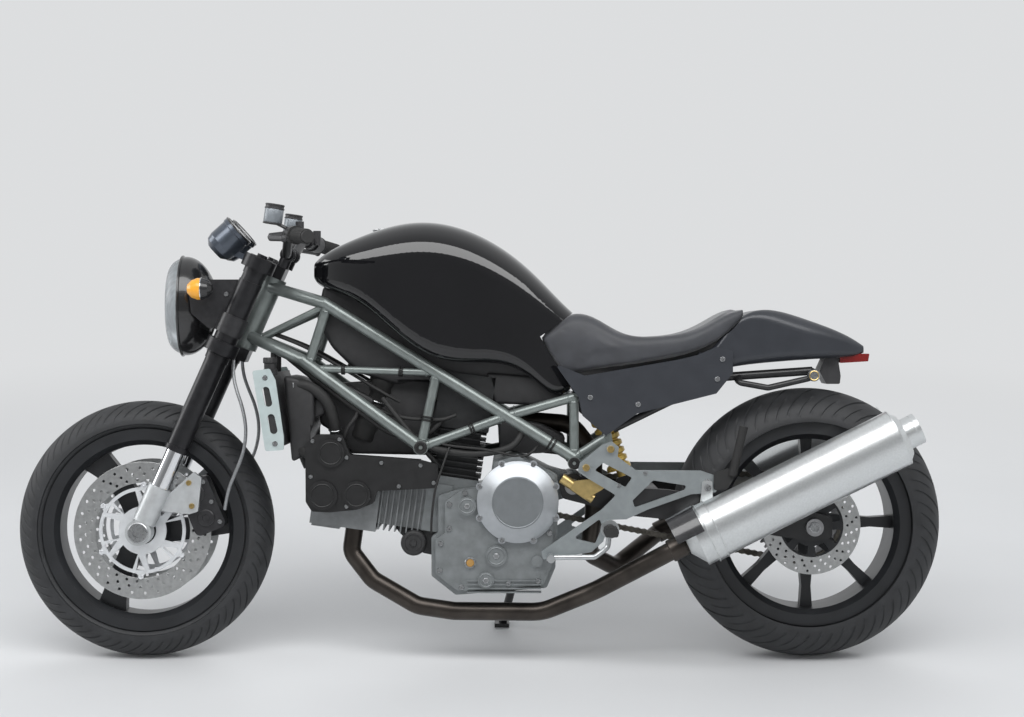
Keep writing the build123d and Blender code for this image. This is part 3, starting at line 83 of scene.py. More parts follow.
def roughen(material, kind, inputs, height, strength, depth, where=None, **settings):
    """A relief from a texture, over the piece's own coordinates unless others are given."""
    tree = material.node_tree
    texture = add_node(tree, kind, inputs, **settings)
    bump = add_node(tree, "Bump", {"Strength": strength, "Distance": depth})
    wire(tree, (where or tree.nodes["Texture Coordinate"].outputs["Object"], texture.inputs["Vector"]),
         (texture.outputs[height], bump.inputs["Height"]),
         (bump.outputs["Normal"], tree.nodes["Principled BSDF"].inputs["Normal"]))
    return bump


def coated(name, colour, roughness, metallic=0.0, coat=0.0, mottle=0.2, size=60.0, relief=0.0,
           stretch=(1, 1, 1)):
    """A finish with uneven tone, uneven shine and a fine relief."""
    material = bpy.data.materials.new(name)
    material.use_nodes = True
    tree = material.node_tree
    shader = tree.nodes["Principled BSDF"]
    shader.inputs["Metallic"].default_value = metallic
    shader.inputs["Coat Weight"].default_value = coat
    shader.inputs["Coat Roughness"].default_value = 0.03
    place = add_node(tree, "TexCoord")
    spread = add_node(tree, "Mapping", {"Scale": stretch})
    cloud = add_node(tree, "TexNoise", {"Scale": size, "Detail": 5.0})
    tone = add_node(tree, "ValToRGB")
    for stop, position, share in zip(tone.color_ramp.elements, (0.3, 0.7), (1 - mottle, 1 + mottle)):
        stop.position = position
        stop.color = [min(1.0, c * share) for c in colour] + [1]
    shine = add_node(tree, "MapRange", {"To Min": max(0.02, roughness * 0.85),
                                        "To Max": min(1.0, roughness * 1.15)})
    wire(tree, (place.outputs["Object"], spread.inputs["Vector"]),
         (spread.outputs["Vector"], cloud.inputs["Vector"]),
         (cloud.outputs["Fac"], tone.inputs["Fac"]),
         (tone.outputs["Color"], shader.inputs["Base Color"]),
         (cloud.outputs["Fac"], shine.inputs["Value"]),
         (shine.outputs["Result"], shader.inputs["Roughness"]))
    if relief > 0:
        grain = {"Scale": size * 12, "Detail": 3.0}
        roughen(material, "TexNoise", grain, "Fac", relief, 0.001, spread.outputs["Vector"])
    return material


def braided(name, colour, pitch):
    """Crossed strands, as on a braided hose."""
    material = coated(name, colour, 0.38, metallic=0.7, mottle=0.2, size=300)
    roughen(material, "TexVoronoi", {"Scale": pitch}, "Distance", 0.5, 0.0006)
    return material


hose_braid = braided("hose_braid", (0.30, 0.31, 0.32), 900)
hose_points = [(196, -96, 352), (203, -108, 392), (222, -116, 436), (243, -120, 486), (249, -118, 536),
               (240, -112, 586), (222, -100, 632), (213, -84, 668), (213.5, -72, 697.5)]
for side, node in ((1, "brake_hose_near"), (-1, "brake_hose_far")):
    line = bpy.data.curves.new(node + "_line", "CURVE")
    line.dimensions = "3D"
    line.bevel_depth = 0.004
    line.bevel_resolution = 4
    line.use_fill_caps = True
    spline = line.splines.new("NURBS")
    spline.points.add(len(hose_points) - 1)
    for point, (x, y, z) in zip(spline.points, hose_points):
        point.co = (*parked(x, side * y, z), 1)
    spline.order_u = 3
    spline.use_endpoint_u = True
    spline.resolution_u = 12
    line.materials.append(hose_braid)
    hose = bpy.data.objects.new(node + "_line", line)
    bpy.context.collection.objects.link(hose)
    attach(hose, "steering")
    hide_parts(node)
    x, y, z = hose_points[0]


# The studio: a plain pale floor and soft light from large panels above, in front and
# behind. None of it belongs to the machine.
def larger(tree, first, second):
    """The larger of two values."""
    pick = add_node(tree, "Math", operation="MAXIMUM")
    wire(tree, (first, pick.inputs[0]), (second, pick.inputs[1]))
    return pick.outputs[0]


floor_mesh = bpy.data.meshes.new("studio_floor")
reach = 60.0
corners = [(-reach, -reach, 0), (reach, -reach, 0), (reach, reach, 0), (-reach, reach, 0)]
floor_mesh.from_pydata(corners, [], [(0, 1, 2, 3)])
floor_paint = coated("floor_paint", (0.64, 0.65, 0.66), 0.6, mottle=0.02, size=1.5)
# Away from the machine the floor runs out into the same pale tone as the air behind it
PALE_TONE = (0.72, 0.73, 0.74, 1)
tree = floor_paint.node_tree
far_tone = add_node(tree, "Emission", {"Color": PALE_TONE})
distance = add_node(tree, "VectorMath", operation="LENGTH")
fade = add_node(tree, "MapRange", {"From Min": 1.3, "From Max": 4.5}, interpolation_type="SMOOTHSTEP")
rays = add_node(tree, "LightPath")
only_seen = add_node(tree, "Math", operation="MULTIPLY")
joined = add_node(tree, "MixShader")
wire(tree, (tree.nodes["Texture Coordinate"].outputs["Object"], distance.inputs[0]),
     (distance.outputs["Value"], fade.inputs["Value"]),
     (fade.outputs["Result"], only_seen.inputs[0]),
     (larger(tree, rays.outputs["Is Camera Ray"], rays.outputs["Is Glossy Ray"]), only_seen.inputs[1]),
     (only_seen.outputs[0], joined.inputs[0]),
     (tree.nodes["Principled BSDF"].outputs[0], joined.inputs[1]),
     (far_tone.outputs[0], joined.inputs[2]),
     (joined.outputs[0], tree.nodes["Material Output"].inputs[0]))
floor_mesh.materials.append(floor_paint)
studio_floor = bpy.data.objects.new("studio_floor", floor_mesh)
bpy.context.collection.objects.link(studio_floor)

world = bpy.data.worlds.new("studio_air")
bpy.context.scene.world = world
world.use_nodes = True
tree = world.node_tree
air = tree.nodes["Background"]
air.inputs["Color"].default_value = (0.72, 0.74, 0.77, 1)
air.inputs["Strength"].default_value = 0.42
seen_air = add_node(tree, "Background", {"Color": PALE_TONE})
# Polished pieces also mirror the darker half of the studio, on the near side
side_way = add_node(tree, "TexCoord")
side_split = add_node(tree, "SeparateXYZ")
side_tone = add_node(tree, "MapRange", {"From Min": -0.9, "From Max": 0.2, "To Min": 0.3, "To Max": 1.0})
rays = add_node(tree, "LightPath")
either = add_node(tree, "MixShader")
mirrored = larger(tree, rays.outputs["Is Camera Ray"], rays.outputs["Is Glossy Ray"])
wire(tree, (side_way.outputs["Generated"], side_split.inputs[0]),
     (side_split.outputs["Y"], side_tone.inputs["Value"]),
     (larger(tree, side_tone.outputs["Result"], rays.outputs["Is Camera Ray"]), seen_air.inputs["Strength"]),
     (larger(tree, mirrored, rays.outputs["Is Transmission Ray"]), either.inputs[0]),
     (air.outputs[0], either.inputs[1]),
     (seen_air.outputs[0], either.inputs[2]),
     (either.outputs[0], tree.nodes["World Output"].inputs[0]))

# Each panel: name, place, the point that it faces, width, height, power, and whether
# polished paint mirrors it
for name, place, target, width, height, power, mirrors in [
    ("top_panel", (0.0, -1.9, 3.2), (0.0, 0.0, 0.6), 7.0, 1.6, 150, True),
    ("side_panel", (-0.4, -6.0, 1.4), (0.0, 0.0, 0.5), 6.0, 2.4, 85, False),
    ("rear_panel", (0.8, 3.4, 2.4), (0.0, 0.0, 0.5), 4.0, 1.4, 70, False),
    ("nose_panel", (-3.8, 0.4, 1.8), (0.0, 0.0, 0.5), 1.8, 1.8, 34, True),
]:
    lamp = bpy.data.lights.new(name, "AREA")
    lamp.shape = "RECTANGLE"
    lamp.size = width
    lamp.size_y = height
    lamp.energy = power
    panel = bpy.data.objects.new(name, lamp)
    panel.location = place
    panel.rotation_euler = (Vector(target) - Vector(place)).to_track_quat("-Z", "Y").to_euler()
    panel.visible_glossy = mirrors
    bpy.context.collection.objects.link(panel)


# Tyres: moulded rubber with slanting grooves cut 3.6 mm into the tread on both sides of
# the crown, and smooth sidewalls down to the beads in the rims.
def add_piece(name, points, faces, body, material, slot, crease=35.0):
    """A new mesh piece from upright points, on its body and with its finish."""
    mesh = bpy.data.meshes.new(name)
    mesh.from_pydata([parked(*point) for point in points], [], faces)
    mesh.validate()
    mesh.materials.append(material)
    tidy = bmesh.new()
    tidy.from_mesh(mesh)
    bmesh.ops.recalc_face_normals(tidy, faces=tidy.faces)
    tidy.to_mesh(mesh)
    tidy.free()
    mesh.polygons.foreach_set("use_smooth", [True] * len(mesh.polygons))
    mesh.set_sharp_from_angle(angle=math.radians(crease))
    piece = bpy.data.objects.new(name, mesh)
    bpy.context.collection.objects.link(piece)
    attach(piece, body)
    return piece


def tyre_profile(reach, width, crown, rim_width):
    """Radius and Y from the crown to the bead, with the share of the way over the tread."""
    half = width / 2
    edge = math.asin((half - 2) / crown)
    rows = []
    for step in range(17):
        angle = edge * step / 16
        rows.append((reach - crown + crown * math.cos(angle), crown * math.sin(angle), step / 16))
    shoulder = rows[-1][0]
    bead = rim_width / 2 - 0.3
    flank = half - 6 if half < 70 else half - 9
    rows += [(shoulder - 5, half - 0.6, 2), (shoulder - 12, half - 0.4, 2), (246, flank, 2), (241, bead + 7, 2),
             (238, bead + 1.2, 2), (237, bead, 2), (218, bead, 2)]
    return rows


def grid_faces(rows, columns, base=0, round_rows=True, round_columns=False):
    """Quads between rows of points that are numbered one row after another."""
    faces = []
    for i in range(rows if round_rows else rows - 1):
        here = base + i * columns
        beyond = base + (i + 1) % rows * columns
        for j in range(columns if round_columns else columns - 1):
            k = (j + 1) % columns
            faces.append((here + j, beyond + j, beyond + k, here + k))
    return faces


MAIN_GROOVE = 3.6
SHORT_GROOVE = 3.0
SLANT = 1.5
tyre_rubber = coated("tyre_rubber", (0.022, 0.023, 0.025), 0.62, mottle=0.25, size=35, relief=0.12)


def treaded_tyre(name, node, body, x, z, reach, width, crown, rim_width, grooves):
    """A tyre whose tread repeats a long and a short slanting groove round the wheel."""
    half_rows = tyre_profile(reach, width, crown, rim_width)
    rows = [(radius, -y, share) for radius, y, share in reversed(half_rows[1:])] + half_rows
    # Within one groove's repeat: share of the way round, main groove, short groove
    columns = [(0.0, 0, 0), (0.015, 1, 0), (0.13, 1, 0), (0.145, 0, 0), (0.3, 0, 0),
               (0.48, 0, 0), (0.495, 0, 1), (0.59, 0, 1), (0.605, 0, 0), (0.8, 0, 0)]
    step = 2 * math.pi / grooves
    points = []
    for number in range(grooves):
        for share, main, short in columns:
            for radius, y, across in rows:
                depth = 0.0
                if main and 0.16 < across < 0.93:
                    depth = MAIN_GROOVE
                if short and 0.5 < across < 0.99:
                    depth = SHORT_GROOVE
                swept = SLANT * min(1.0, abs(y) / (width / 2)) ** 1.4 if across <= 1 else SLANT
                angle = (number + share + swept) * step
                lowered = radius - depth
                points.append((x + lowered * math.cos(angle), y * (1 - depth / 400),
                               z + lowered * math.sin(angle)))
    faces = grid_faces(grooves * len(columns), len(rows), round_columns=True)
    tyre = add_piece(name, points, faces, body, tyre_rubber, "tyre_rubber", crease=40)
    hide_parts(node)


FRONT_AXLE = (0.0, 300.77)
REAR_AXLE = (1551.0, 316.15)
treaded_tyre("front_tyre_tread", "front_tyre", "front_wheel", *FRONT_AXLE, 299.9, 120, 62, 89, 34)
treaded_tyre("rear_tyre_tread", "rear_tyre", "rear_wheel", *REAR_AXLE, 314.9, 180, 92, 140, 30)


# Wheels: cast alloy with spokes in one piece, powder coated satin black. The modelled
# pieces keep their shape and take this finish.
def dress(material, *nodes):
    """Gives modelled pieces their finish."""
    for node in nodes:
        for slot in bpy.data.objects[node].material_slots:
            slot.material = material


wheel_black = coated("wheel_black", (0.013, 0.014, 0.016), 0.38, coat=0.08, size=18, relief=0.02)
dress(wheel_black, "front_rim", "rear_rim")


# Front discs: floating rings of steel, 5 mm thick and drilled in slanting rows of three.
# They are cut from plate and held to the silver carriers by round bobbins.
SIDES = ((-1, "near"), (1, "far"))


def polar(x, z, radius, degrees):
    """A place on a circle round a centre in X and Z."""
    angle = math.radians(degrees)
    return x + radius * math.cos(angle), z + radius * math.sin(angle)


def circle(x, z, radius, count):
    """The corners of a round hole or edge."""
    return [polar(x, z, radius, 360 * n / count) for n in range(count)]


def raised(face, side, profile):
    """A profile of radius and rise from a face, as radius and Y on one side."""
    return [(radius, face + side * rise) for radius, rise in profile]


def turned_piece(name, profile, x, z, body, material, slot, sides=48, crease=35.0, copies=((0, 0),)):
    """Radius and Y pairs turned about a line across the machine, at each shift in X and Z."""
    points = []
    faces = []
    count = len(profile)
    for shift_x, shift_z in copies:
        base = len(points)
        for number in range(sides):
            for radius, y in profile:
                place_x, place_z = polar(x + shift_x, z + shift_z, radius, 360 * number / sides)
                points.append((place_x, y, place_z))
        faces += grid_faces(sides, count, base)
        for row in (0, count - 1):
            faces.append(tuple(base + i * count + row for i in range(sides)))
    return add_piece(name, points, faces, body, material, slot, crease)


def cut_plate(name, loops, y_middle, thickness, body, material, slot, chamfer=0.35):
    """A flat plate with holes, from closed loops of X and Z, with its edges just broken."""
    shape = bpy.data.curves.new(name + "_shape", "CURVE")
    shape.dimensions = "2D"
    shape.fill_mode = "BOTH"
    shape.extrude = thickness / 2 - chamfer
    shape.bevel_depth = chamfer
    shape.bevel_resolution = 1
    shape.offset = -chamfer
    for loop in loops:
        spline = shape.splines.new("POLY")
        spline.points.add(len(loop) - 1)
        for point, (x, z) in zip(spline.points, loop):
            point.co = (x, z, 0, 1)
        spline.use_cyclic_u = True
    holder = bpy.data.objects.new(name + "_shape", shape)
    bpy.context.collection.objects.link(holder)
    flat = bpy.data.meshes.new_from_object(holder)
    points = [(v.co.x, y_middle + v.co.z, v.co.y) for v in flat.vertices]
    faces = [tuple(p.vertices) for p in flat.polygons]
    bpy.data.objects.remove(holder)
    return add_piece(name, points, faces, body, material, slot, crease=30)


disc_steel = coated("disc_steel", (0.60, 0.61, 0.61), 0.30, 1.0, mottle=0.1, size=40, relief=0.06,
                    stretch=(3, 3, 3))
carrier_silver = coated("carrier_silver", (0.74, 0.76, 0.78), 0.34, metallic=0.55, mottle=0.05, relief=0.03)
dress(carrier_silver, "front_carriers")
DISC_THICK = 5.0
holes = []
for group in range(30):
    for radius, lag in ((119, 0.0), (132, 4.2), (146, 8.4)):
        holes.append(circle(*polar(*FRONT_AXLE, radius, group * 12 + lag), 3.6, 10))
rings = [circle(*FRONT_AXLE, 160, 120), circle(*FRONT_AXLE, 111, 96)] + holes
bobbin_places = [polar(0, 0, 108, 28 + 60 * number) for number in range(6)]
bobbin = [(6.0, -1), (6.0, 1.2), (5.2, 2.0), (3.4, 2.0), (3.0, 0.8), (0.1, 0.8)]
for side, label in SIDES:
    disc = cut_plate("front_disc_" + label, rings, side * 64.5, DISC_THICK, "front_wheel", disc_steel,
                     "disc_steel")
    if side < 0:
        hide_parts("front_discs")
    turned_piece("disc_bobbins_" + label, raised(side * 67.0, side, bobbin), *FRONT_AXLE, "front_wheel",
                 carrier_silver, "carrier_silver", 20, 35, bobbin_places)


# Rear disc: a steel ring drilled the same way, riveted round a black carrier with eight
# windows, which is bolted to the hub.
rear_holes = []
for group in range(24):
    for radius, lag in ((83, 0.0), (94, 5.0), (105, 10.0)):
        rear_holes.append(circle(*polar(*REAR_AXLE, radius, group * 15 + lag), 3.2, 10))
rear_rings = [circle(*REAR_AXLE, 113, 110), circle(*REAR_AXLE, 73.5, 90)] + rear_holes
rear_ring = cut_plate("rear_disc_ring", rear_rings, -104.0, DISC_THICK, "rear_wheel", disc_steel, "disc_steel")
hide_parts("rear_disc")
windows = []
for number in range(8):
    loop = []
    for radius, way in ((69, 1), (48, -1)):
        for step in range(-3, 4):
            loop.append(polar(*REAR_AXLE, radius, 22.5 + 45 * number + way * step * 4.6))
    windows.append(loop)
hub_hole = circle(*REAR_AXLE, 25, 48)
carrier_rings = [circle(*REAR_AXLE, 75.5, 90), hub_hole] + windows
cut_plate("rear_disc_carrier", carrier_rings, -104.0, 4.2, "rear_wheel", wheel_black, "wheel_black")
boss_rings = [circle(*REAR_AXLE, 44, 64), hub_hole]
cut_plate("rear_disc_boss", boss_rings, -100.2, 3.6, "rear_wheel", wheel_black, "wheel_black")


# Calipers: black cast blocks over the discs' edges, with the round ends of their pistons
# and the bolts that hold them.
def bolt_heads(name, places, radius, height, side, body="chassis", material=None, slot="steel"):
    """Socket-headed steel bolts on one side, each at X, Y and Z of the face that it sits on."""
    points = []
    faces = []
    head = [(1, 0), (1, 0.82), (0.88, 1), (0.5, 1), (0.5, 0.45)]
    sides = 12
    for x, y, z in places:
        base = len(points)
        for number in range(sides):
            for share, rise in head:
                place_x, place_z = polar(x, z, radius * share, 360 * number / sides)
                points.append((place_x, y + side * height * rise, place_z))
        faces += grid_faces(sides, len(head), base)
        faces.append(tuple(base + (i + 1) * len(head) - 1 for i in range(sides)))
    return add_piece(name, points, faces, body, material or bolt_steel, slot, crease=30)


def on_side(side, points):
    """Points given for the near side, on the side asked for."""
    return [(x, -side * y, z) for x, y, z in points]


def bolt_pairs(name, places, radius, height, body="chassis", material=None):
    """Bolts given for the near side, on both sides."""
    for side, label in SIDES:
        bolt_heads(name + "_" + label, on_side(side, places), radius, height, side, body, material)


caliper_black = coated("caliper_black", (0.022, 0.022, 0.024), 0.36, 0.2, coat=0.1, size=90, relief=0.05)
bolt_steel = coated("bolt_steel", (0.45, 0.46, 0.47), 0.28, metallic=1.0, mottle=0.15, size=200)
bolt_gold = coated("bolt_gold", (0.62, 0.46, 0.20), 0.30, metallic=1.0, mottle=0.15, size=200)
dress(caliper_black, "front_calipers", "rear_caliper")
caliper_angle = math.radians(22.8)
out = (math.cos(caliper_angle), math.sin(caliper_angle))
along = (-math.sin(caliper_angle), math.cos(caliper_angle))


def on_caliper(reach, shift):
    """X and Z out from the axle along the caliper's middle, and across it."""
    return out[0] * reach + along[0] * shift, FRONT_AXLE[1] + out[1] * reach + along[1] * shift


piston_cap = [(19.5, -1), (19.5, 3), (17.5, 4.5), (9, 4.5), (8, 3), (0.1, 3)]
pistons = [on_caliper(152, shift) for shift in (-30, 30)]
for side, label in SIDES:
    turned_piece("piston_caps_" + label, raised(side * 89.5, side, piston_cap), 0, 0, "steering",
                 caliper_black, "black_parts", 32, 30, pistons)
ends = [on_caliper(178, shift) for shift in (-50, 0, 50)]
bolt_pairs("caliper_bolts", [(x, -89.5, z) for x, z in ends], 5.5, 4.5, "steering")


# Fork: black outer tubes clamped in the yokes, short chromed stanchions and light cast feet
# that carry the hollow axle and the calipers.
fork_black = coated("fork_black", (0.016, 0.016, 0.018), 0.32, metallic=0.4, size=70, relief=0.02)
fork_grey = coated("fork_grey", (0.56, 0.58, 0.59), 0.42, metallic=0.75, mottle=0.08, relief=0.12)
hard_chrome = coated("hard_chrome", (0.80, 0.81, 0.83), 0.08, metallic=1.0, mottle=0.02)
dress(fork_black, "fork_tubes", "lower_yoke", "upper_yoke")
dress(fork_grey, "fork_feet")
dress(hard_chrome, "fork_stanchions")
dress(bolt_steel, "front_axle")
RAKE = math.radians(24.0)


def up_fork(back, side, rise):
    """A point measured back, across and up along the fork from the front axle."""
    x = back * math.cos(RAKE) + rise * math.sin(RAKE)
    return (x, side, FRONT_AXLE[1] - back * math.sin(RAKE) + rise * math.cos(RAKE))


def tube_piece(name, path, radius, body, material, slot, sides=16, closed=False, crease=35.0):
    """A round section carried along a path of upright points; radius may vary along it."""
    stations = [Vector(p) for p in path]
    count = len(stations)
    radii = [radius] * count if isinstance(radius, (int, float)) else radius
    points = []
    side_way = None
    for number, here in enumerate(stations):
        before = stations[(number - 1) % count] if closed or number > 0 else here
        after = stations[(number + 1) % count] if closed or number < count - 1 else here
        forward = (after - before).normalized()
        if side_way is None:
            side_way = forward.orthogonal().normalized()
        side_way = (side_way - forward * side_way.dot(forward)).normalized()
        other = forward.cross(side_way)
        for step in range(sides):
            angle = 2 * math.pi * step / sides
            points.append(tuple(here + (side_way * math.cos(angle) + other * math.sin(angle)) * radii[number]))
    faces = grid_faces(count, sides, round_rows=closed, round_columns=True)
    if not closed:
        faces.append(tuple(range(sides)))
        faces.append(tuple((count - 1) * sides + j for j in range(sides)))
    return add_piece(name, points, faces, body, material, slot, crease)


def ring_path(centre, axis, radius, count=32):
    """Points of a circle about an axis."""
    axis = Vector(axis).normalized()
    first = axis.orthogonal().normalized()
    second = axis.cross(first)
    path = []
    for number in range(count):
        angle = 2 * math.pi * number / count
        path.append(tuple(Vector(centre) + (first * math.cos(angle) + second * math.sin(angle)) * radius))
    return path


def ring_piece(name, centre, axis, radius, thick, body, material, slot, sides=8, count=40, side=-1):
    """A round ring about an axis; a centre given for the near side goes to the side asked for."""
    path = on_side(side, ring_path(centre, axis, radius, count))
    return tube_piece(name, path, thick, body, material, slot, sides, True)


fork_axis = (math.sin(RAKE), 0, math.cos(RAKE))
# Each ring on a leg: name, rise up the fork, radius and thickness
leg_rings = [("dust_seal", 207, 26.5, 2.2), ("seal_lip", 216, 27.5, 1.4), ("yoke_line", 448, 28.5, 1.2),
             ("cap_line", 692, 25, 1.6)]
fork_trim = ("steering", fork_black, "fork_black")
washer = [(24, -1), (24, 3), (22, 4.5), (17, 4.5), (16, 2), (12.5, 2)]
for side, label in SIDES:
    for name, rise, radius, thick in leg_rings:
        ring_piece(name + "_" + label, up_fork(0, side * 100, rise), fork_axis, radius, thick, *fork_trim)
    turned_piece("axle_washer_" + label, raised(side * 124.0, side, washer), *FRONT_AXLE, "steering",
                 bolt_steel, "steel", 40)
bolt_pairs("pinch_bolts", [up_fork(58, -104, 150), up_fork(86, -104, 104)], 6.5, 5, "steering", bolt_gold)


# Headlight: a black upright bowl with a clear ribbed front, and plates and turn signals
# clamped to the fork. The amber half of each signal is its lens.
lamp_shell = coated("lamp_shell", (0.014, 0.014, 0.015), 0.22, coat=0.6, size=20)
dress(lamp_shell, "headlight_shell")
dress(caliper_black, "headlight_brackets")
lamp_glass = coated("lamp_glass", (0.42, 0.45, 0.47), 0.10, size=30, relief=0.3, stretch=(1, 8, 1))
glass_shader = lamp_glass.node_tree.nodes["Principled BSDF"]
glass_shader.inputs["Transmission Weight"].default_value = 0.55
glass_shader.inputs["IOR"].default_value = 1.45
dress(lamp_glass, "headlight_lens")
rim_path = []
for number in range(64):
    angle = 2 * math.pi * number / 64
    rim_path.append((84, 90.5 * math.cos(angle), 824 + 116.5 * math.sin(angle)))
tube_piece("headlight_rim", rim_path, 3.2, "steering", lamp_shell, "black_parts", 12, True)

signal = coated("signal_shell", (0.02, 0.02, 0.021), 0.25, coat=0.3, mottle=0.1, size=40)
tree = signal.node_tree
split = add_node(tree, "SeparateXYZ")
seam = (149.0 - 783.0) / 1000
front_half = add_node(tree, "Math", {1: seam}, operation="LESS_THAN")
amber = add_node(tree, "Mix", {7: (0.80, 0.36, 0.03, 1)}, data_type="RGBA")
wire(tree, (tree.nodes["Texture Coordinate"].outputs["Object"], split.inputs[0]),
     (split.outputs["X"], front_half.inputs[0]),
     (front_half.outputs[0], amber.inputs[0]),
     (tree.nodes["Color Ramp"].outputs[0], amber.inputs[6]),
     (amber.outputs[2], tree.nodes["Principled BSDF"].inputs["Base Color"]))
dress(signal, "indicators")
for side, label in SIDES:
    ring_piece("signal_rim_" + label, (149, side * 146, 861), (1, 0, 0), 25.2, 1.3, "steering", hard_chrome,
               "chrome", 8, 32)
bolt_pairs("bracket_bolts", [(200, -98, 850), (215, -98, 812)], 5.5, 4, "steering")


# Gauges: two dark blue-grey metallic bowls with black bezels, dark dials under glass and
# plain tick marks, on arms from the upper yoke.
gauge_silver = coated("gauge_silver", (0.085, 0.10, 0.125), 0.30, metallic=0.7, coat=0.4, mottle=0.08, size=40)
dial_black = coated("dial_black", (0.012, 0.012, 0.014), 0.12, coat=1.0, mottle=0.1, size=40)
tick_white = coated("tick_white", (0.72, 0.73, 0.72), 0.5, mottle=0.03, size=80)
dress(gauge_silver, "gauges")
gauge_back = Vector((166, -52, 950))
gauge_face = Vector((222, -52, 1000))
gauge_way = (gauge_face - gauge_back).normalized()
for side, label in SIDES:
    ring_piece("gauge_bezel_" + label, gauge_face, gauge_way, 38.5, 2.6, "steering", lamp_shell, "black_parts",
               10, 48, side)
    glass = ring_path(gauge_face + gauge_way * 0.6, gauge_way, 37, 48) + [gauge_face + gauge_way * 1.8]
    fan = [(n, (n + 1) % 48, 48) for n in range(48)]
    add_piece("gauge_dial_" + label, on_side(side, glass), fan, "steering", dial_black, "cover_black")
    first = gauge_way.orthogonal().normalized()
    second = gauge_way.cross(first)
    marks = []
    for number in range(25):
        angle = math.radians(-135 + number * 270 / 24)
        way = first * math.cos(angle) + second * math.sin(angle)
        wide = gauge_way.cross(way) * (0.9 if number % 4 == 0 else 0.5)
        inner = 26 if number % 4 == 0 else 29
        for far, turn in ((inner, 1), (33, 1), (33, -1), (inner, -1)):
            marks.append(gauge_face + gauge_way * 1.9 + way * far + wide * turn)
    quads = [tuple(range(n, n + 4)) for n in range(0, len(marks), 4)]
    add_piece("gauge_ticks_" + label, on_side(side, marks), quads, "steering", tick_white, "gauge_silver")
    pin = gauge_face + gauge_way * 2.4
    needle = on_side(side, [pin + first * 26 * math.cos(2.3) + second * 26 * math.sin(2.3), pin])
    tube_piece("gauge_needle_" + label, needle, [0.4, 1.1], "steering", tick_white, "gauge_silver", 6)


# Handlebar: black steel tube in two clamps on the upper yoke, with ribbed rubber grips,
# levers, switch housings and a fluid reservoir each side.
bar_black = coated("bar_black", (0.015, 0.015, 0.016), 0.34, coat=0.15, size=50, relief=0.03)
control_black = coated("control_black", (0.028, 0.028, 0.030), 0.44, size=80, relief=0.08)
dress(bar_black, "handlebar")
dress(control_black, "hand_controls")
rubber_black = coated("rubber_black", (0.018, 0.018, 0.018), 0.72, size=80, relief=0.2)
dress(rubber_black, "grips", "foot_pegs")
bar_centre = Vector(up_fork(46, 0, 724))
bar_bend = Vector((bar_centre.x + 14, -165.0, bar_centre.z + 42))
bar_end = Vector((414.0, -368.0, 970.0))
bar_way = (bar_end - bar_bend).normalized()
for side, label in SIDES:
    for number in range(13):
        centre = bar_end - bar_way * (8 + number * 8.4)
        ring_piece("grip_rib_%s_%d" % (label, number), centre, bar_way, 15.6, 1.5, "steering", rubber_black,
                   "black_rubber", 6, 28, side)
    for shift in (-52, -38):
        centre = (bar_centre.x, shift, bar_centre.z)
        ring_piece("bar_clamp_%s_%d" % (label, -shift), centre, (0, 1, 0), 14, 4.5, *fork_trim, 12, 28, side)
cup = Vector((318.0, -196.0, 1006.0))
cup_tilt = math.radians(8)
cup_way = Vector((math.sin(cup_tilt), 0, math.cos(cup_tilt)))
cup_grey = coated("cup_grey", (0.20, 0.22, 0.24), 0.35, metallic=0.3, mottle=0.08)
for side, label in SIDES:
    walls = on_side(side, [cup + cup_way * rise for rise in (4, 5, 34, 35)])
    tube_piece("reservoir_wall_" + label, walls, [21.0, 21.5, 21.5, 21.0], "steering", cup_grey,
               "black_parts", 40)
    for rise, radius, thick in ((2, 21, 1.6), (36, 21.3, 1.6), (44, 20, 2.2)):
        ring_piece("reservoir_ring_%s_%d" % (label, rise), cup + cup_way * rise, cup_way, radius, thick,
                   "steering", control_black, "black_parts", 8, 36, side)


# Fuel tank: pressed steel, deep black gloss under clear coat, with a flush filler cap on
# top, between two bright rings.
tank_gloss = coated("tank_gloss", (0.006, 0.006, 0.007), 0.06, coat=1.0, mottle=0.1, size=8)
tank_gloss.node_tree.nodes["Principled BSDF"].inputs["Specular IOR Level"].default_value = 0.2
dress(tank_gloss, "fuel_tank")
cap_axis = (-0.08, 0, 1)
ring_piece("filler_cap_rim", (566, 0, 1004.5), cap_axis, 33, 2.2, "chassis", bolt_steel, "chrome", 10, 48)
ring_piece("filler_cap_ring", (566, 0, 1005.5), cap_axis, 20, 1.0, "chassis", bolt_steel, "chrome", 8, 48)


# Seat: one foam pad under a fine-grained dark cover, deep behind the tank and rising to
# the cowl. The foam swells against its cover, which a short cloth run gives it.
def leather(name, colour, roughness, grain):
    """A fine pebbled grain with softer creases."""
    material = coated(name, colour, roughness, mottle=0.16, size=30)
    tree = material.node_tree
    shader = tree.nodes["Principled BSDF"]
    shader.inputs["Sheen Weight"].default_value = 0.25
    shader.inputs["Sheen Roughness"].default_value = 0.5
    pebble = roughen(material, "TexVoronoi", {"Scale": grain}, "Distance", 0.35, 0.0005)
    crease = roughen(material, "TexNoise", {"Scale": 70}, "Fac", 0.2, 0.001)
    wire(tree, (pebble.outputs["Normal"], crease.inputs["Normal"]))
    return material


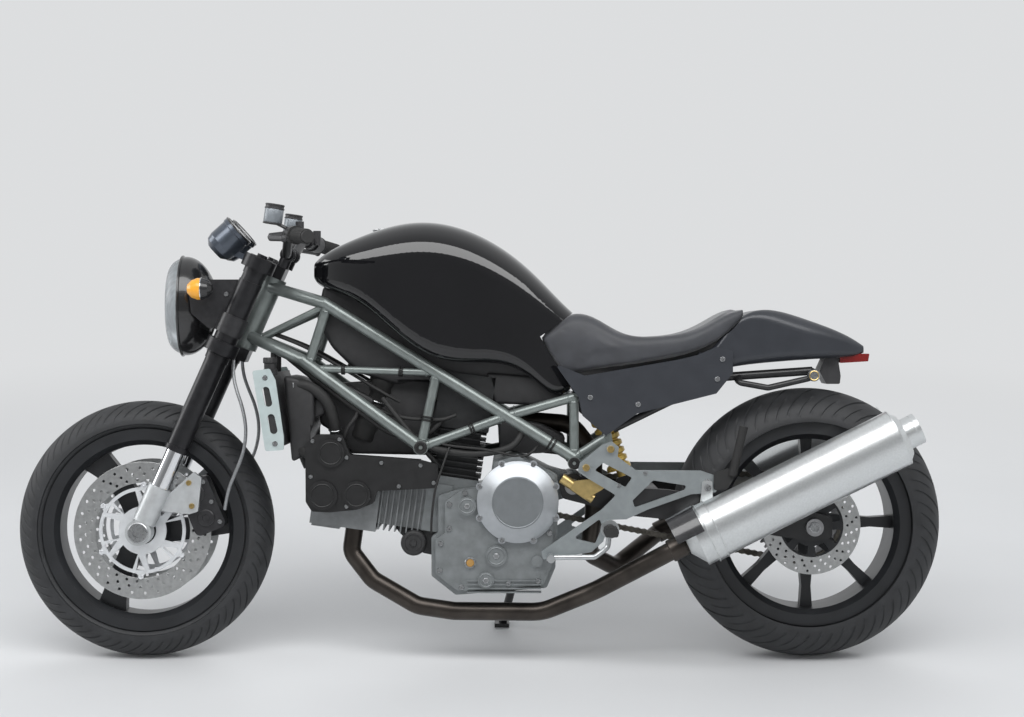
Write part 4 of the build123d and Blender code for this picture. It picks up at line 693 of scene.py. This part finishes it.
seat_leather = leather("seat_leather", (0.034, 0.036, 0.042), 0.5, 950)
seat_mesh = bpy.data.objects["seat_pad"].data.copy()
seat_mesh.name = "seat_cushion"
seat = bpy.data.objects.new("seat_cushion", seat_mesh)
bpy.context.collection.objects.link(seat)
bpy.context.view_layer.objects.active = seat
seat.select_set(True)
shrink = bmesh.new()
shrink.from_mesh(seat_mesh)
bmesh.ops.remove_doubles(shrink, verts=shrink.verts, dist=0.0002)
bmesh.ops.recalc_face_normals(shrink, faces=shrink.faces)
shrink.to_mesh(seat_mesh)
shrink.free()
remesh = seat.modifiers.new("skin", "REMESH")
remesh.mode = "VOXEL"
remesh.voxel_size = 0.006
bpy.ops.object.modifier_apply(modifier="skin")
smooth = seat.modifiers.new("ease", "SMOOTH")
smooth.factor = 0.5
smooth.iterations = 6
bpy.ops.object.modifier_apply(modifier="ease")
SKIN = 0.0015
SWELL = 0.003
for vertex in seat.data.vertices:
    vertex.co -= vertex.normal * SKIN
resting = [vertex.co.copy() for vertex in seat.data.vertices]
foam = seat.modifiers.new("foam", "CLOTH")
foam.settings.use_pressure = True
foam.settings.uniform_pressure_force = 4
foam.settings.effector_weights.gravity = 0
foam.settings.tension_stiffness = 25
foam.settings.compression_stiffness = 25
foam.settings.quality = 5
for number in range(1, 16):
    bpy.context.scene.frame_set(number)
bpy.ops.object.modifier_apply(modifier="foam")
bpy.context.scene.frame_set(1)
for vertex, start in zip(seat.data.vertices, resting):
    move = vertex.co - start
    if move.length > SWELL:
        vertex.co = start + move.normalized() * SWELL
finer = seat.modifiers.new("finer", "SUBSURF")
finer.levels = 1
bpy.ops.object.modifier_apply(modifier="finer")
seat.select_set(False)
seat.data.materials.clear()
seat.data.materials.append(seat_leather)
seat.data.polygons.foreach_set("use_smooth", [True] * len(seat.data.polygons))
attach(seat, "chassis")
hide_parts("seat_pad")


# Tail cowl and side panels: moulded shells, satin blue-black, screwed to the rear frame
# with four screws on each side.
cowl_satin = coated("cowl_satin", (0.030, 0.033, 0.040), 0.36, 0.15, coat=0.15, mottle=0.08, size=30,
                    relief=0.05)
dress(cowl_satin, "tail_cowl")
screws = [(1040, -124, 612), (1150, -124, 596), (1344, -124, 700), (1332, -124, 654)]
bolt_pairs("panel_screws", screws, 6, 3)


# Tail lamp and plate holder: a red lens under the cowl, and a black holder with a lock
# beside it that has a gold ring.
red_lens = coated("red_lens", (0.16, 0.008, 0.007), 0.10, coat=0.8, mottle=0.1, size=30)
dress(red_lens, "tail_light")
dress(control_black, "plate_bracket")
lock = [(13.5, -96), (13.5, -113), (12, -115), (9.5, -115), (9, -113.5), (0.1, -113.5)]
steel_trim = ("chassis", bolt_steel, "steel")
turned_piece("seat_lock", lock, 1556, 662, *steel_trim, 36)
ring_piece("seat_lock_ring", (1556, -114.5, 662), (0, 1, 0), 10.5, 1.4, "chassis", bolt_gold,
           "gold_anodised", 8, 36)


# Frame: round steel tubes in grey metallic paint, welded at every joint, with a bead round
# the foot of each brace.
frame_paint = coated("frame_paint", (0.20, 0.225, 0.218), 0.34, metallic=0.55, coat=0.25, mottle=0.12,
                     size=40, relief=0.04)
dress(frame_paint, "frame_near", "frame_far", "head_tube")
dress(bar_black, "tail_frame")
top_bend, top_end = Vector((425, -86, 829)), Vector((1003, -115, 473))
low_head, low_bend, low_end = Vector((246, -20, 752)), Vector((372, -82, 698)), Vector((650, -113, 497))
knee, stay_foot = Vector((1003, -104, 612)), Vector((1085, -106, 525))


def at(start, end, x):
    """The point of a straight tube that has this X."""
    return start + (end - start) * ((x - start.x) / (end.x - start.x))


# Each weld: the brace's two ends, its radius, and how far from each end its bead lies
joints = [
    (at(top_bend, top_end, 432), at(low_bend, low_end, 388), 11, 15, 15),
    (at(top_bend, top_end, 432), at(low_head, low_bend, 262), 8, 16, 17),
    (at(low_bend, low_end, 400), at(top_bend, top_end, 686), 8, 24, 24),
    (at(top_bend, top_end, 686), low_end, 11, 15, 18),
    (low_end, at(top_bend, top_end, 848), 11, 22, 18),
    (at(top_bend, top_end, 848), knee, 11, 20, 13),
    (top_end, knee, 11, 17, 12),
    (top_end, stay_foot, 11, 17, 12),
]
weld_sizes = [1.5 + 0.5 * (n % 2) for n in range(44)]
for side, label in SIDES:
    for number, (start, end, radius, first, last) in enumerate(joints):
        way = (end - start).normalized()
        for far, centre in ((0, start + way * first), (1, end - way * last)):
            ring_piece("weld_%s_%d_%d" % (label, number, far), centre, way, radius + 0.2, weld_sizes, "chassis",
                       frame_paint, "frame_paint", 6, 44, side)


# Clips and plugs on the frame: plastic ties round the tubes that carry wires, and round
# plugs over the ends of the engine's through bolts.
clip_black = coated("clip_black", (0.010, 0.010, 0.010), 0.45, mottle=0.1, size=80)
frame_trim = ("chassis", clip_black, "cover_black")
TIE = 2.6
# Each cable clip: the brace that it is on, its share of the way along, and its radius
clips = [(2, 0.235, 9.6), (2, 0.25, 9.6), (2, 0.70, 9.6), (2, 0.72, 9.6), (3, 0.60, 12.4), (3, 0.64, 12.4),
         (4, 0.58, 12.4), (4, 0.61, 12.4)]
low_plug = [(15, -1), (15, 2), (13, 3.4), (9, 3.4), (8.2, 1.2), (4.4, 1.2), (4.2, -0.4), (0.1, -0.4)]
top_plug = [(13.5, -1), (13.5, 2), (12, 3.4), (8, 3.4), (7.6, 1.2), (4.2, 1.2), (4.0, -0.4), (0.1, -0.4)]
for side, label in SIDES:
    for number, (brace, share, radius) in enumerate(clips):
        start, end = joints[brace][:2]
        way = end - start
        ring_piece("cable_clip_%s_%d" % (label, number), start + way * share, way, radius, TIE,
                   *frame_trim, 8, 30, side)
    for number, x in enumerate((948, 956)):
        ring_piece("top_clip_%s_%d" % (label, number), at(top_bend, top_end, x), top_end - top_bend, 15.6, TIE,
                   *frame_trim, 8, 30, side)
    for name, x, z, face, profile in (("low", 650, 497, 128.0, low_plug), ("top", 1003, 461, 130.0, top_plug)):
        plug = raised(side * face, side, profile)
        turned_piece("engine_bolt_%s_%s" % (name, label), plug, x, z, *frame_trim, 36)


# Engine: grey cast cases, dark finned cylinders at right angles, a satin clutch cover and
# black covers over the belts that drive the cams.
case_casting = coated("case_casting", (0.21, 0.225, 0.23), 0.46, metallic=0.6, mottle=0.14, size=40,
                      relief=0.35)
cylinder_casting = coated("cylinder_casting", (0.028, 0.029, 0.030), 0.5, metallic=0.5, size=50, relief=0.3)
clutch_satin = coated("clutch_satin", (0.40, 0.42, 0.44), 0.36, metallic=0.7, mottle=0.06, relief=0.08)
clutch_inner = coated("clutch_inner", (0.20, 0.215, 0.225), 0.42, metallic=0.6, mottle=0.05, relief=0.05)
belt_black = coated("belt_black", (0.009, 0.009, 0.0095), 0.42, relief=0.15)
dress(case_casting, "crankcase")
dress(cylinder_casting, "rear_cylinder")
head_casting = coated("head_casting", (0.20, 0.21, 0.215), 0.45, metallic=0.6, mottle=0.16, size=50, relief=0.3)
dress(head_casting, "front_cylinder")
dress(clutch_satin, "clutch_cover")
dress(belt_black, "belt_covers", "sprocket_cover")
CLUTCH = (873, 372)
rim_bolts = []
for number in range(8):
    x, z = polar(*CLUTCH, 94, -22.5 - 45 * number)
    rim_bolts.append((x, -132.3, z))
bolt_heads("clutch_bolts", rim_bolts, 5.6, 5.5, -1)
plate = [(59, -152.0), (59, -153.4), (56.5, -154.2), (55, -153.2), (0.1, -153.2)]
turned_piece("clutch_disc", plate, *CLUTCH, "chassis", clutch_inner, "cover_satin", 72, 25)
case_bolts = [(716, 310), (716, 366), (752, 392), (806, 400), (946, 300), (944, 240), (920, 190), (852, 184),
              (744, 176), (694, 214), (696, 276), (950, 420)]
bolt_heads("case_bolts_near", [(x, -120, z) for x, z in case_bolts], 6.2, 6, -1)
far_bolts = [(720, 196), (700, 276), (800, 370), (814, 200), (826, 300)]
bolt_heads("case_bolts_far", [(x, 120, z) for x, z in far_bolts], 6.2, 6, 1)
OIL_SIGHT = (764, 232)
sight = [(13, -119), (13, -126), (11.5, -127.5), (9.5, -127.5), (9, -126), (0.1, -126)]
turned_piece("oil_sight", sight, *OIL_SIGHT, *steel_trim, 36)
oil_amber = coated("oil_amber", (0.35, 0.20, 0.06), 0.08, coat=1.0, mottle=0.1)
oil = [(9, -126.2), (8.6, -126.8), (0.1, -127.0)]
turned_piece("oil_sight_glass", oil, *OIL_SIGHT, "chassis", oil_amber, "lamp_glass", 32)
# Each plug in the case: name, X, Z, radius of its ring, and Y of its face
plugs = [("filler_ring", 824, 248, 19, -129.2), ("plug_ring", 800, 192, 15, -129.2),
         ("pickup_ring", 757, 363, 16, -134.2)]
for name, x, z, radius, face in plugs:
    ring_piece(name, (x, face, z), (0, 1, 0), radius, 1.6, "chassis", case_casting, "cast_engine")
    hub = raised(face, -1, [(7, 0), (7, 3), (5.5, 4), (0.1, 4)])
    turned_piece(name + "_hub", hub, x, z, *steel_trim, 6, 20)
cover_bolts = [(402, 512), (464, 516), (480, 474), (560, 462), (650, 456), (680, 416), (600, 408), (530, 380),
               (480, 362), (410, 362), (398, 430)]
bolt_heads("belt_cover_bolts", [(x, -127, z) for x, z in cover_bolts], 4.8, 4, -1)
for number, (x, z, radius) in enumerate(((444, 484, 25), (425, 387, 26), (503, 388, 25))):
    ring_piece("belt_cover_ring_%d" % number, (x, -134.2, z), (0, 1, 0), radius, 1.5, "chassis", belt_black,
               "cover_black")


# Moulded boxes: the air box, throttle bodies, battery case, tanks and seat base that fill
# the space under the tank and seat, injection moulded in black and bolted to the frame.
def moulded(name, loop, y_low, y_high, radius):
    """A black moulded box from its side view, with rounded edges all round."""
    form = bmesh.new()
    near = [form.verts.new((x, y_low, z)) for x, z in loop]
    far = [form.verts.new((x, y_high, z)) for x, z in loop]
    form.faces.new(near)
    form.faces.new(list(reversed(far)))
    for n in range(len(loop)):
        m = (n + 1) % len(loop)
        form.faces.new((near[m], near[n], far[n], far[m]))
    bmesh.ops.bevel(form, geom=form.edges[:], offset=radius, segments=4, affect="EDGES", profile=0.5)
    form.verts.index_update()
    points = [tuple(v.co) for v in form.verts]
    faces = [tuple(v.index for v in f.verts) for f in form.faces]
    form.free()
    return add_piece(name, points, faces, *black_box, crease=50)


box_black = coated("box_black", (0.020, 0.020, 0.021), 0.55, relief=0.2)
black_box = ("chassis", box_black, "cover_black")
box_side = [(420, 872), (480, 856), (560, 806), (640, 748), (700, 722), (850, 716), (920, 690), (960, 640),
            (880, 640), (800, 664), (690, 664), (590, 640), (500, 668), (440, 726), (404, 790)]
moulded("air_box", box_side, -64, 64, 12)
battery_side = [(800, 668), (988, 654), (984, 632), (976, 590), (820, 596)]
moulded("battery_case", battery_side, -74, 74, 8)
throttle_side = [(408, 640), (600, 652), (668, 650), (694, 560), (700, 474), (480, 478), (470, 510), (410, 548)]
moulded("throttle_bodies", throttle_side, -44, 44, 8)
rectifier_side = [(556, 366), (690, 366), (690, 240), (650, 248), (596, 296)]
moulded("rectifier", rectifier_side, -66, 66, 8)
tank_side = [(826, 566), (930, 548), (985, 520), (978, 474), (900, 486), (830, 482)]
moulded("coolant_tank", tank_side, -48, 48, 8)
seat_base_side = [(1006, 700), (1170, 720), (1344, 756), (1340, 706), (1180, 676), (1012, 640)]
moulded("seat_base", seat_base_side, -100, 100, 6)
coil = [(478, 640), (540, 606), (530, 580), (466, 612)]
for side, label in SIDES:
    low, high = sorted((side * 44, side * 74))
    moulded("ignition_coil_" + label, coil, low, high, 6)


# Intakes and oil filter: two ribbed rubber tubes from the air box down to the cylinders,
# each under a steel band, and a screwed-on filter can in front of the case.
boot_rubber = coated("boot_rubber", (0.016, 0.016, 0.016), 0.65, size=90, relief=0.1)
filter_can = [(30, 20), (30, -84), (28, -92), (24, -95), (20, -95), (19, -93), (8, -93), (7, -97), (0.1, -97)]
turned_piece("oil_filter", filter_can, 632, 274, *black_box, 40, 30)
rubber_hose = ("chassis", boot_rubber, "black_rubber")
# Along an intake: share of the way down and radius
intake_ribs = [(0, 30), (0.04, 33), (0.1, 30), (0.16, 33), (0.22, 30), (0.24, 27), (0.5, 27), (0.52, 31),
               (0.6, 34), (0.68, 31), (0.76, 34), (0.84, 31), (0.96, 32), (1.0, 29)]
for label, y, top, bottom in (("front", -26, (560, 652), (508, 512)), ("rear", 26, (604, 652), (664, 560))):
    start = Vector((top[0], y, top[1]))
    end = Vector((bottom[0], y, bottom[1]))
    path = [tuple(start + (end - start) * share) for share, radius in intake_ribs]
    sizes = [radius for share, radius in intake_ribs]
    tube_piece("intake_" + label, path, sizes, *rubber_hose, 40, crease=60)
    middle = start + (end - start) * 0.37
    ring_piece("intake_ring_" + label, middle, end - start, 28, 3.0, *steel_trim, 10)


# Fan shroud, hoses and wiring: a moulded shroud behind the radiator, two coolant hoses
# with steel bands at their ends, and taped looms that follow the frame's tubes.
def smooth_path(corners, steps=8):
    """A rounded route through corner points, by Catmull and Rom's formula."""
    knots = [Vector(corners[0])] + [Vector(c) for c in corners] + [Vector(corners[-1])]
    path = []
    for n in range(1, len(knots) - 2):
        before, start, end, after = knots[n - 1:n + 3]
        for step in range(steps):
            t = step / steps
            bend = 2 * before - 5 * start + 4 * end - after
            twist = 3 * start - before - 3 * end + after
            path.append(tuple(0.5 * (2 * start + (end - before) * t + bend * t * t + twist * t ** 3)))
    path.append(tuple(knots[-1]))
    return path


shroud_side = [(333, 662), (366, 656), (404, 622), (404, 548), (388, 520), (376, 474), (352, 462)]
moulded("fan_shroud", shroud_side, -112, 112, 9)
motor = [(400, 612), (424, 606), (428, 574), (400, 560)]
# Each run: name, radius and corner points of the near side
runs = [
    ("coolant_hose_top", 13, [(352, -96, 640), (392, -104, 636), (430, -100, 604), (446, -88, 560),
                              (450, -76, 528)]),
    ("coolant_hose_low", 13, [(366, -96, 490), (384, -106, 486), (398, -104, 470), (402, -96, 440),
                              (430, -88, 420)]),
    ("main_loom", 7, [(296, -40, 738), (350, -58, 694), (420, -74, 640), (500, -86, 584), (580, -92, 530),
                      (650, -92, 520), (700, -86, 560)]),
    ("throttle_cable", 4, [(300, -30, 758), (380, -50, 726), (470, -70, 676), (560, -76, 622),
                           (600, -70, 600)]),
    ("plug_lead_front", 4.5, [(505, -66, 604), (500, -92, 570), (480, -96, 540), (470, -88, 512)]),
    ("plug_lead_rear", 4.5, [(530, -66, 590), (600, -92, 566), (690, -96, 560), (730, -88, 570)]),
    ("breather_hose", 8, [(640, -104, 508), (700, -114, 490), (780, -116, 482), (860, -112, 500),
                          (892, -98, 550)]),
    ("sensor_cable", 3, [(650, -104, 520), (712, -118, 502), (800, -122, 492), (884, -116, 476),
                         (920, -104, 500)]),
    ("cover_cable", 2.6, [(716, -124, 498), (700, -136, 452), (684, -137, 400), (676, -128, 340),
                          (674, -114, 300)]),
    ("oil_line", 6, [(692, -84, 452), (676, -100, 470), (640, -104, 512), (600, -100, 560), (560, -92, 610)]),
]
for side, label in SIDES:
    low, high = sorted((side * 30, side * 92))
    moulded("fan_motor_" + label, motor, low, high, 7)
    for name, radius, corners in runs:
        path = on_side(side, smooth_path(corners))
        tube_piece("%s_%s" % (name, label), path, radius, *rubber_hose, 14)
        if name.startswith("coolant"):
            for number in (2, len(path) - 4):
                way = Vector(path[number + 1]) - Vector(path[number])
                ring_piece("%s_band_%s_%d" % (name, label, number), path[number], way, radius + 1.2, 1.6,
                           *steel_trim, 8, 28)


# Radiator: a finned black core between pale cut-out side plates, each held by two bolts,
# with a notched black cap on its filler neck.
core_black = coated("core_black", (0.03, 0.03, 0.031), 0.5, metallic=0.4, size=40)
roughen(core_black, "TexWave", {"Scale": 120}, "Fac", 0.8, 0.001, bands_direction="Z")
pale_plate = coated("pale_plate", (0.52, 0.60, 0.60), 0.38, metallic=0.5, mottle=0.05, relief=0.06)
dress(core_black, "radiator")
dress(pale_plate, "radiator_plates")
bolt_pairs("radiator_bolts", [(298, -172, 658), (321, -172, 508)], 5, 3.5)
cap_profile = [(0.1, 26), (15, 26), (17, 24), (17, 14), (14, 12), (14, 0), (17, -2), (17, -14)]
cap_points = []
for number in range(32):
    for radius, rise in cap_profile:
        notch = 1.5 if radius == 17 and rise > 0 and number % 4 < 2 else 0
        x, y = polar(306, -138, radius - notch, 360 * number / 32)
        cap_points.append((x, y, 678 + rise))
add_piece("radiator_cap", cap_points, grid_faces(32, len(cap_profile)), *black_box)


# Exhaust: heat-browned steel pipes under the machine, and a brushed aluminium silencer each
# side with raised bands, a dark outlet and a carbon heat shield.
pipe_burnt = coated("pipe_burnt", (0.060, 0.052, 0.046), 0.34, metallic=0.85, mottle=0.35, size=14, relief=0.05)
dress(pipe_burnt, "header_pipes")
can_alloy = coated("can_alloy", (0.66, 0.68, 0.685), 0.30, 0.85, mottle=0.05, size=26, relief=0.10,
                   stretch=(9, 1, 9))
dress(can_alloy, "silencers")
carbon = coated("carbon_weave", (0.020, 0.020, 0.022), 0.22, coat=0.8)
roughen(carbon, "TexChecker", {"Scale": 320}, "Fac", 0.4, 0.0004)
dress(carbon, "heat_shields")
CAN_RISE = math.radians(26.45)
can_way = Vector((math.cos(CAN_RISE), 0, math.sin(CAN_RISE)))
can_down = Vector((math.sin(CAN_RISE), 0, -math.cos(CAN_RISE)))


def can_middle(side, far):
    """The middle of a silencer, at a distance back from its inlet."""
    return Vector((1275, side * 214, 297)) + can_way * far


def can_ring(side, far, high, wide, count=72):
    """Points of an oval round a silencer."""
    path = []
    for number in range(count):
        angle = 2 * math.pi * number / count
        around = can_down * (high * math.cos(angle)) + Vector((0, wide * math.sin(angle), 0))
        path.append(tuple(can_middle(side, far) + around))
    return path


outlet_dark = coated("outlet_dark", (0.02, 0.018, 0.017), 0.6, mottle=0.3, size=40)
can_trim = ("chassis", can_alloy, "brushed_aluminium")
# Each band: its distance along the silencer, half its height and width, and its thickness
bands = [(27, 68.8, 62.8, 1.6), (49, 68.8, 62.8, 1.6), (1, 63, 57, 2.0), (508, 64.5, 58.5, 2.4)]
for side, label in SIDES:
    for far, high, wide, thick in bands:
        tube_piece("can_band_%s_%d" % (label, far), can_ring(side, far, high, wide), thick, *can_trim, 8, True)
    tube_piece("can_outlet_" + label, can_ring(side, 548, 34, 34, 48), 2.3, *can_trim, 10, True)
    collar = [tuple(can_middle(side, far)) for far in (-66, -64, -30, -28)]
    tube_piece("can_collar_" + label, collar, [24, 26, 26, 24], "chassis", pipe_burnt, "burnt_steel", 36)
    soot = [tuple(can_middle(side, far)) for far in (526.5, 527.5)]
    tube_piece("can_soot_" + label, soot, 31.5, "chassis", outlet_dark, "burnt_steel", 36)
bolt_pairs("can_lug_bolt", [(1305, -171, 408)], 8, 6)


# Foot-rest plates: cut from satin alloy with open windows, bolted to the frame with gold
# bolts; rubber-topped pegs, bent pedals and the rear brake's gold cylinder.
rearset_grey = coated("rearset_grey", (0.33, 0.36, 0.37), 0.36, metallic=0.7, mottle=0.06, relief=0.08)
gold_anodised = coated("gold_anodised", (0.56, 0.42, 0.18), 0.32, metallic=0.85, mottle=0.1, size=80,
                       relief=0.05)
pedal_silver = coated("pedal_silver", (0.58, 0.60, 0.61), 0.3, metallic=0.9, mottle=0.08, size=80)
dress(rearset_grey, "rearset_plates")
dress(pedal_silver, "foot_pedals")
dress(gold_anodised, "rear_master_cylinder")
bolt_pairs("rearset_bolts", [(1085, -162, 495), (1029, -162, 453)], 8.5, 6, "chassis", bolt_gold)
bolt_pairs("peg_bolts", [(1306, -158, 418)], 9.5, 7)
bolt_pairs("rearset_small_bolts", [(1104, -158, 412), (1164, -158, 440)], 5, 4)
for side, label in SIDES:
    for number in range(7):
        y = side * (200 + number * 7.6)
        path = []
        for step in range(24):
            angle = 2 * math.pi * step / 24
            path.append((1083 + 15.4 * math.cos(angle), y, 313 + 10.4 * math.sin(angle)))
        tube_piece("peg_rib_%s_%d" % (label, number), path, 1.4, "chassis", rubber_black, "black_rubber", 6,
                   True)


# Rear suspension and drive: a black swingarm, a gold-sprung shock absorber, steel sprockets
# and an oiled chain.
chain_oiled = coated("chain_oiled", (0.16, 0.15, 0.13), 0.34, metallic=0.9, mottle=0.35, size=120)
spring_gold = coated("spring_gold", (0.60, 0.42, 0.10), 0.35, metallic=0.3, coat=0.4, mottle=0.1)
sprocket_steel = coated("sprocket_steel", (0.40, 0.40, 0.41), 0.34, metallic=0.95, mottle=0.15, size=90,
                        relief=0.05)
dress(bar_black, "swingarm", "side_stand")
dress(spring_gold, "shock_absorber")
dress(sprocket_steel, "rear_sprocket", "drive_sprocket", "pivot_shaft", "rear_axle")
dress(chain_oiled, "chain")
axle_nut = [(13.5, -1), (13.5, 3), (12.5, 3.6), (8, 3.6), (7.5, 0.6), (0.1, 0.6)]
for side, label in SIDES:
    turned_piece("axle_nut_" + label, raised(side * 160.0, side, axle_nut), *REAR_AXLE, *steel_trim, 6, 20)
sprocket_bolts = []
for number in range(6):
    x, z = polar(*REAR_AXLE, 44, 30 + 60 * number)
    sprocket_bolts.append((x, 121, z))
bolt_heads("sprocket_bolts", sprocket_bolts, 6, 5, 1, "rear_wheel")
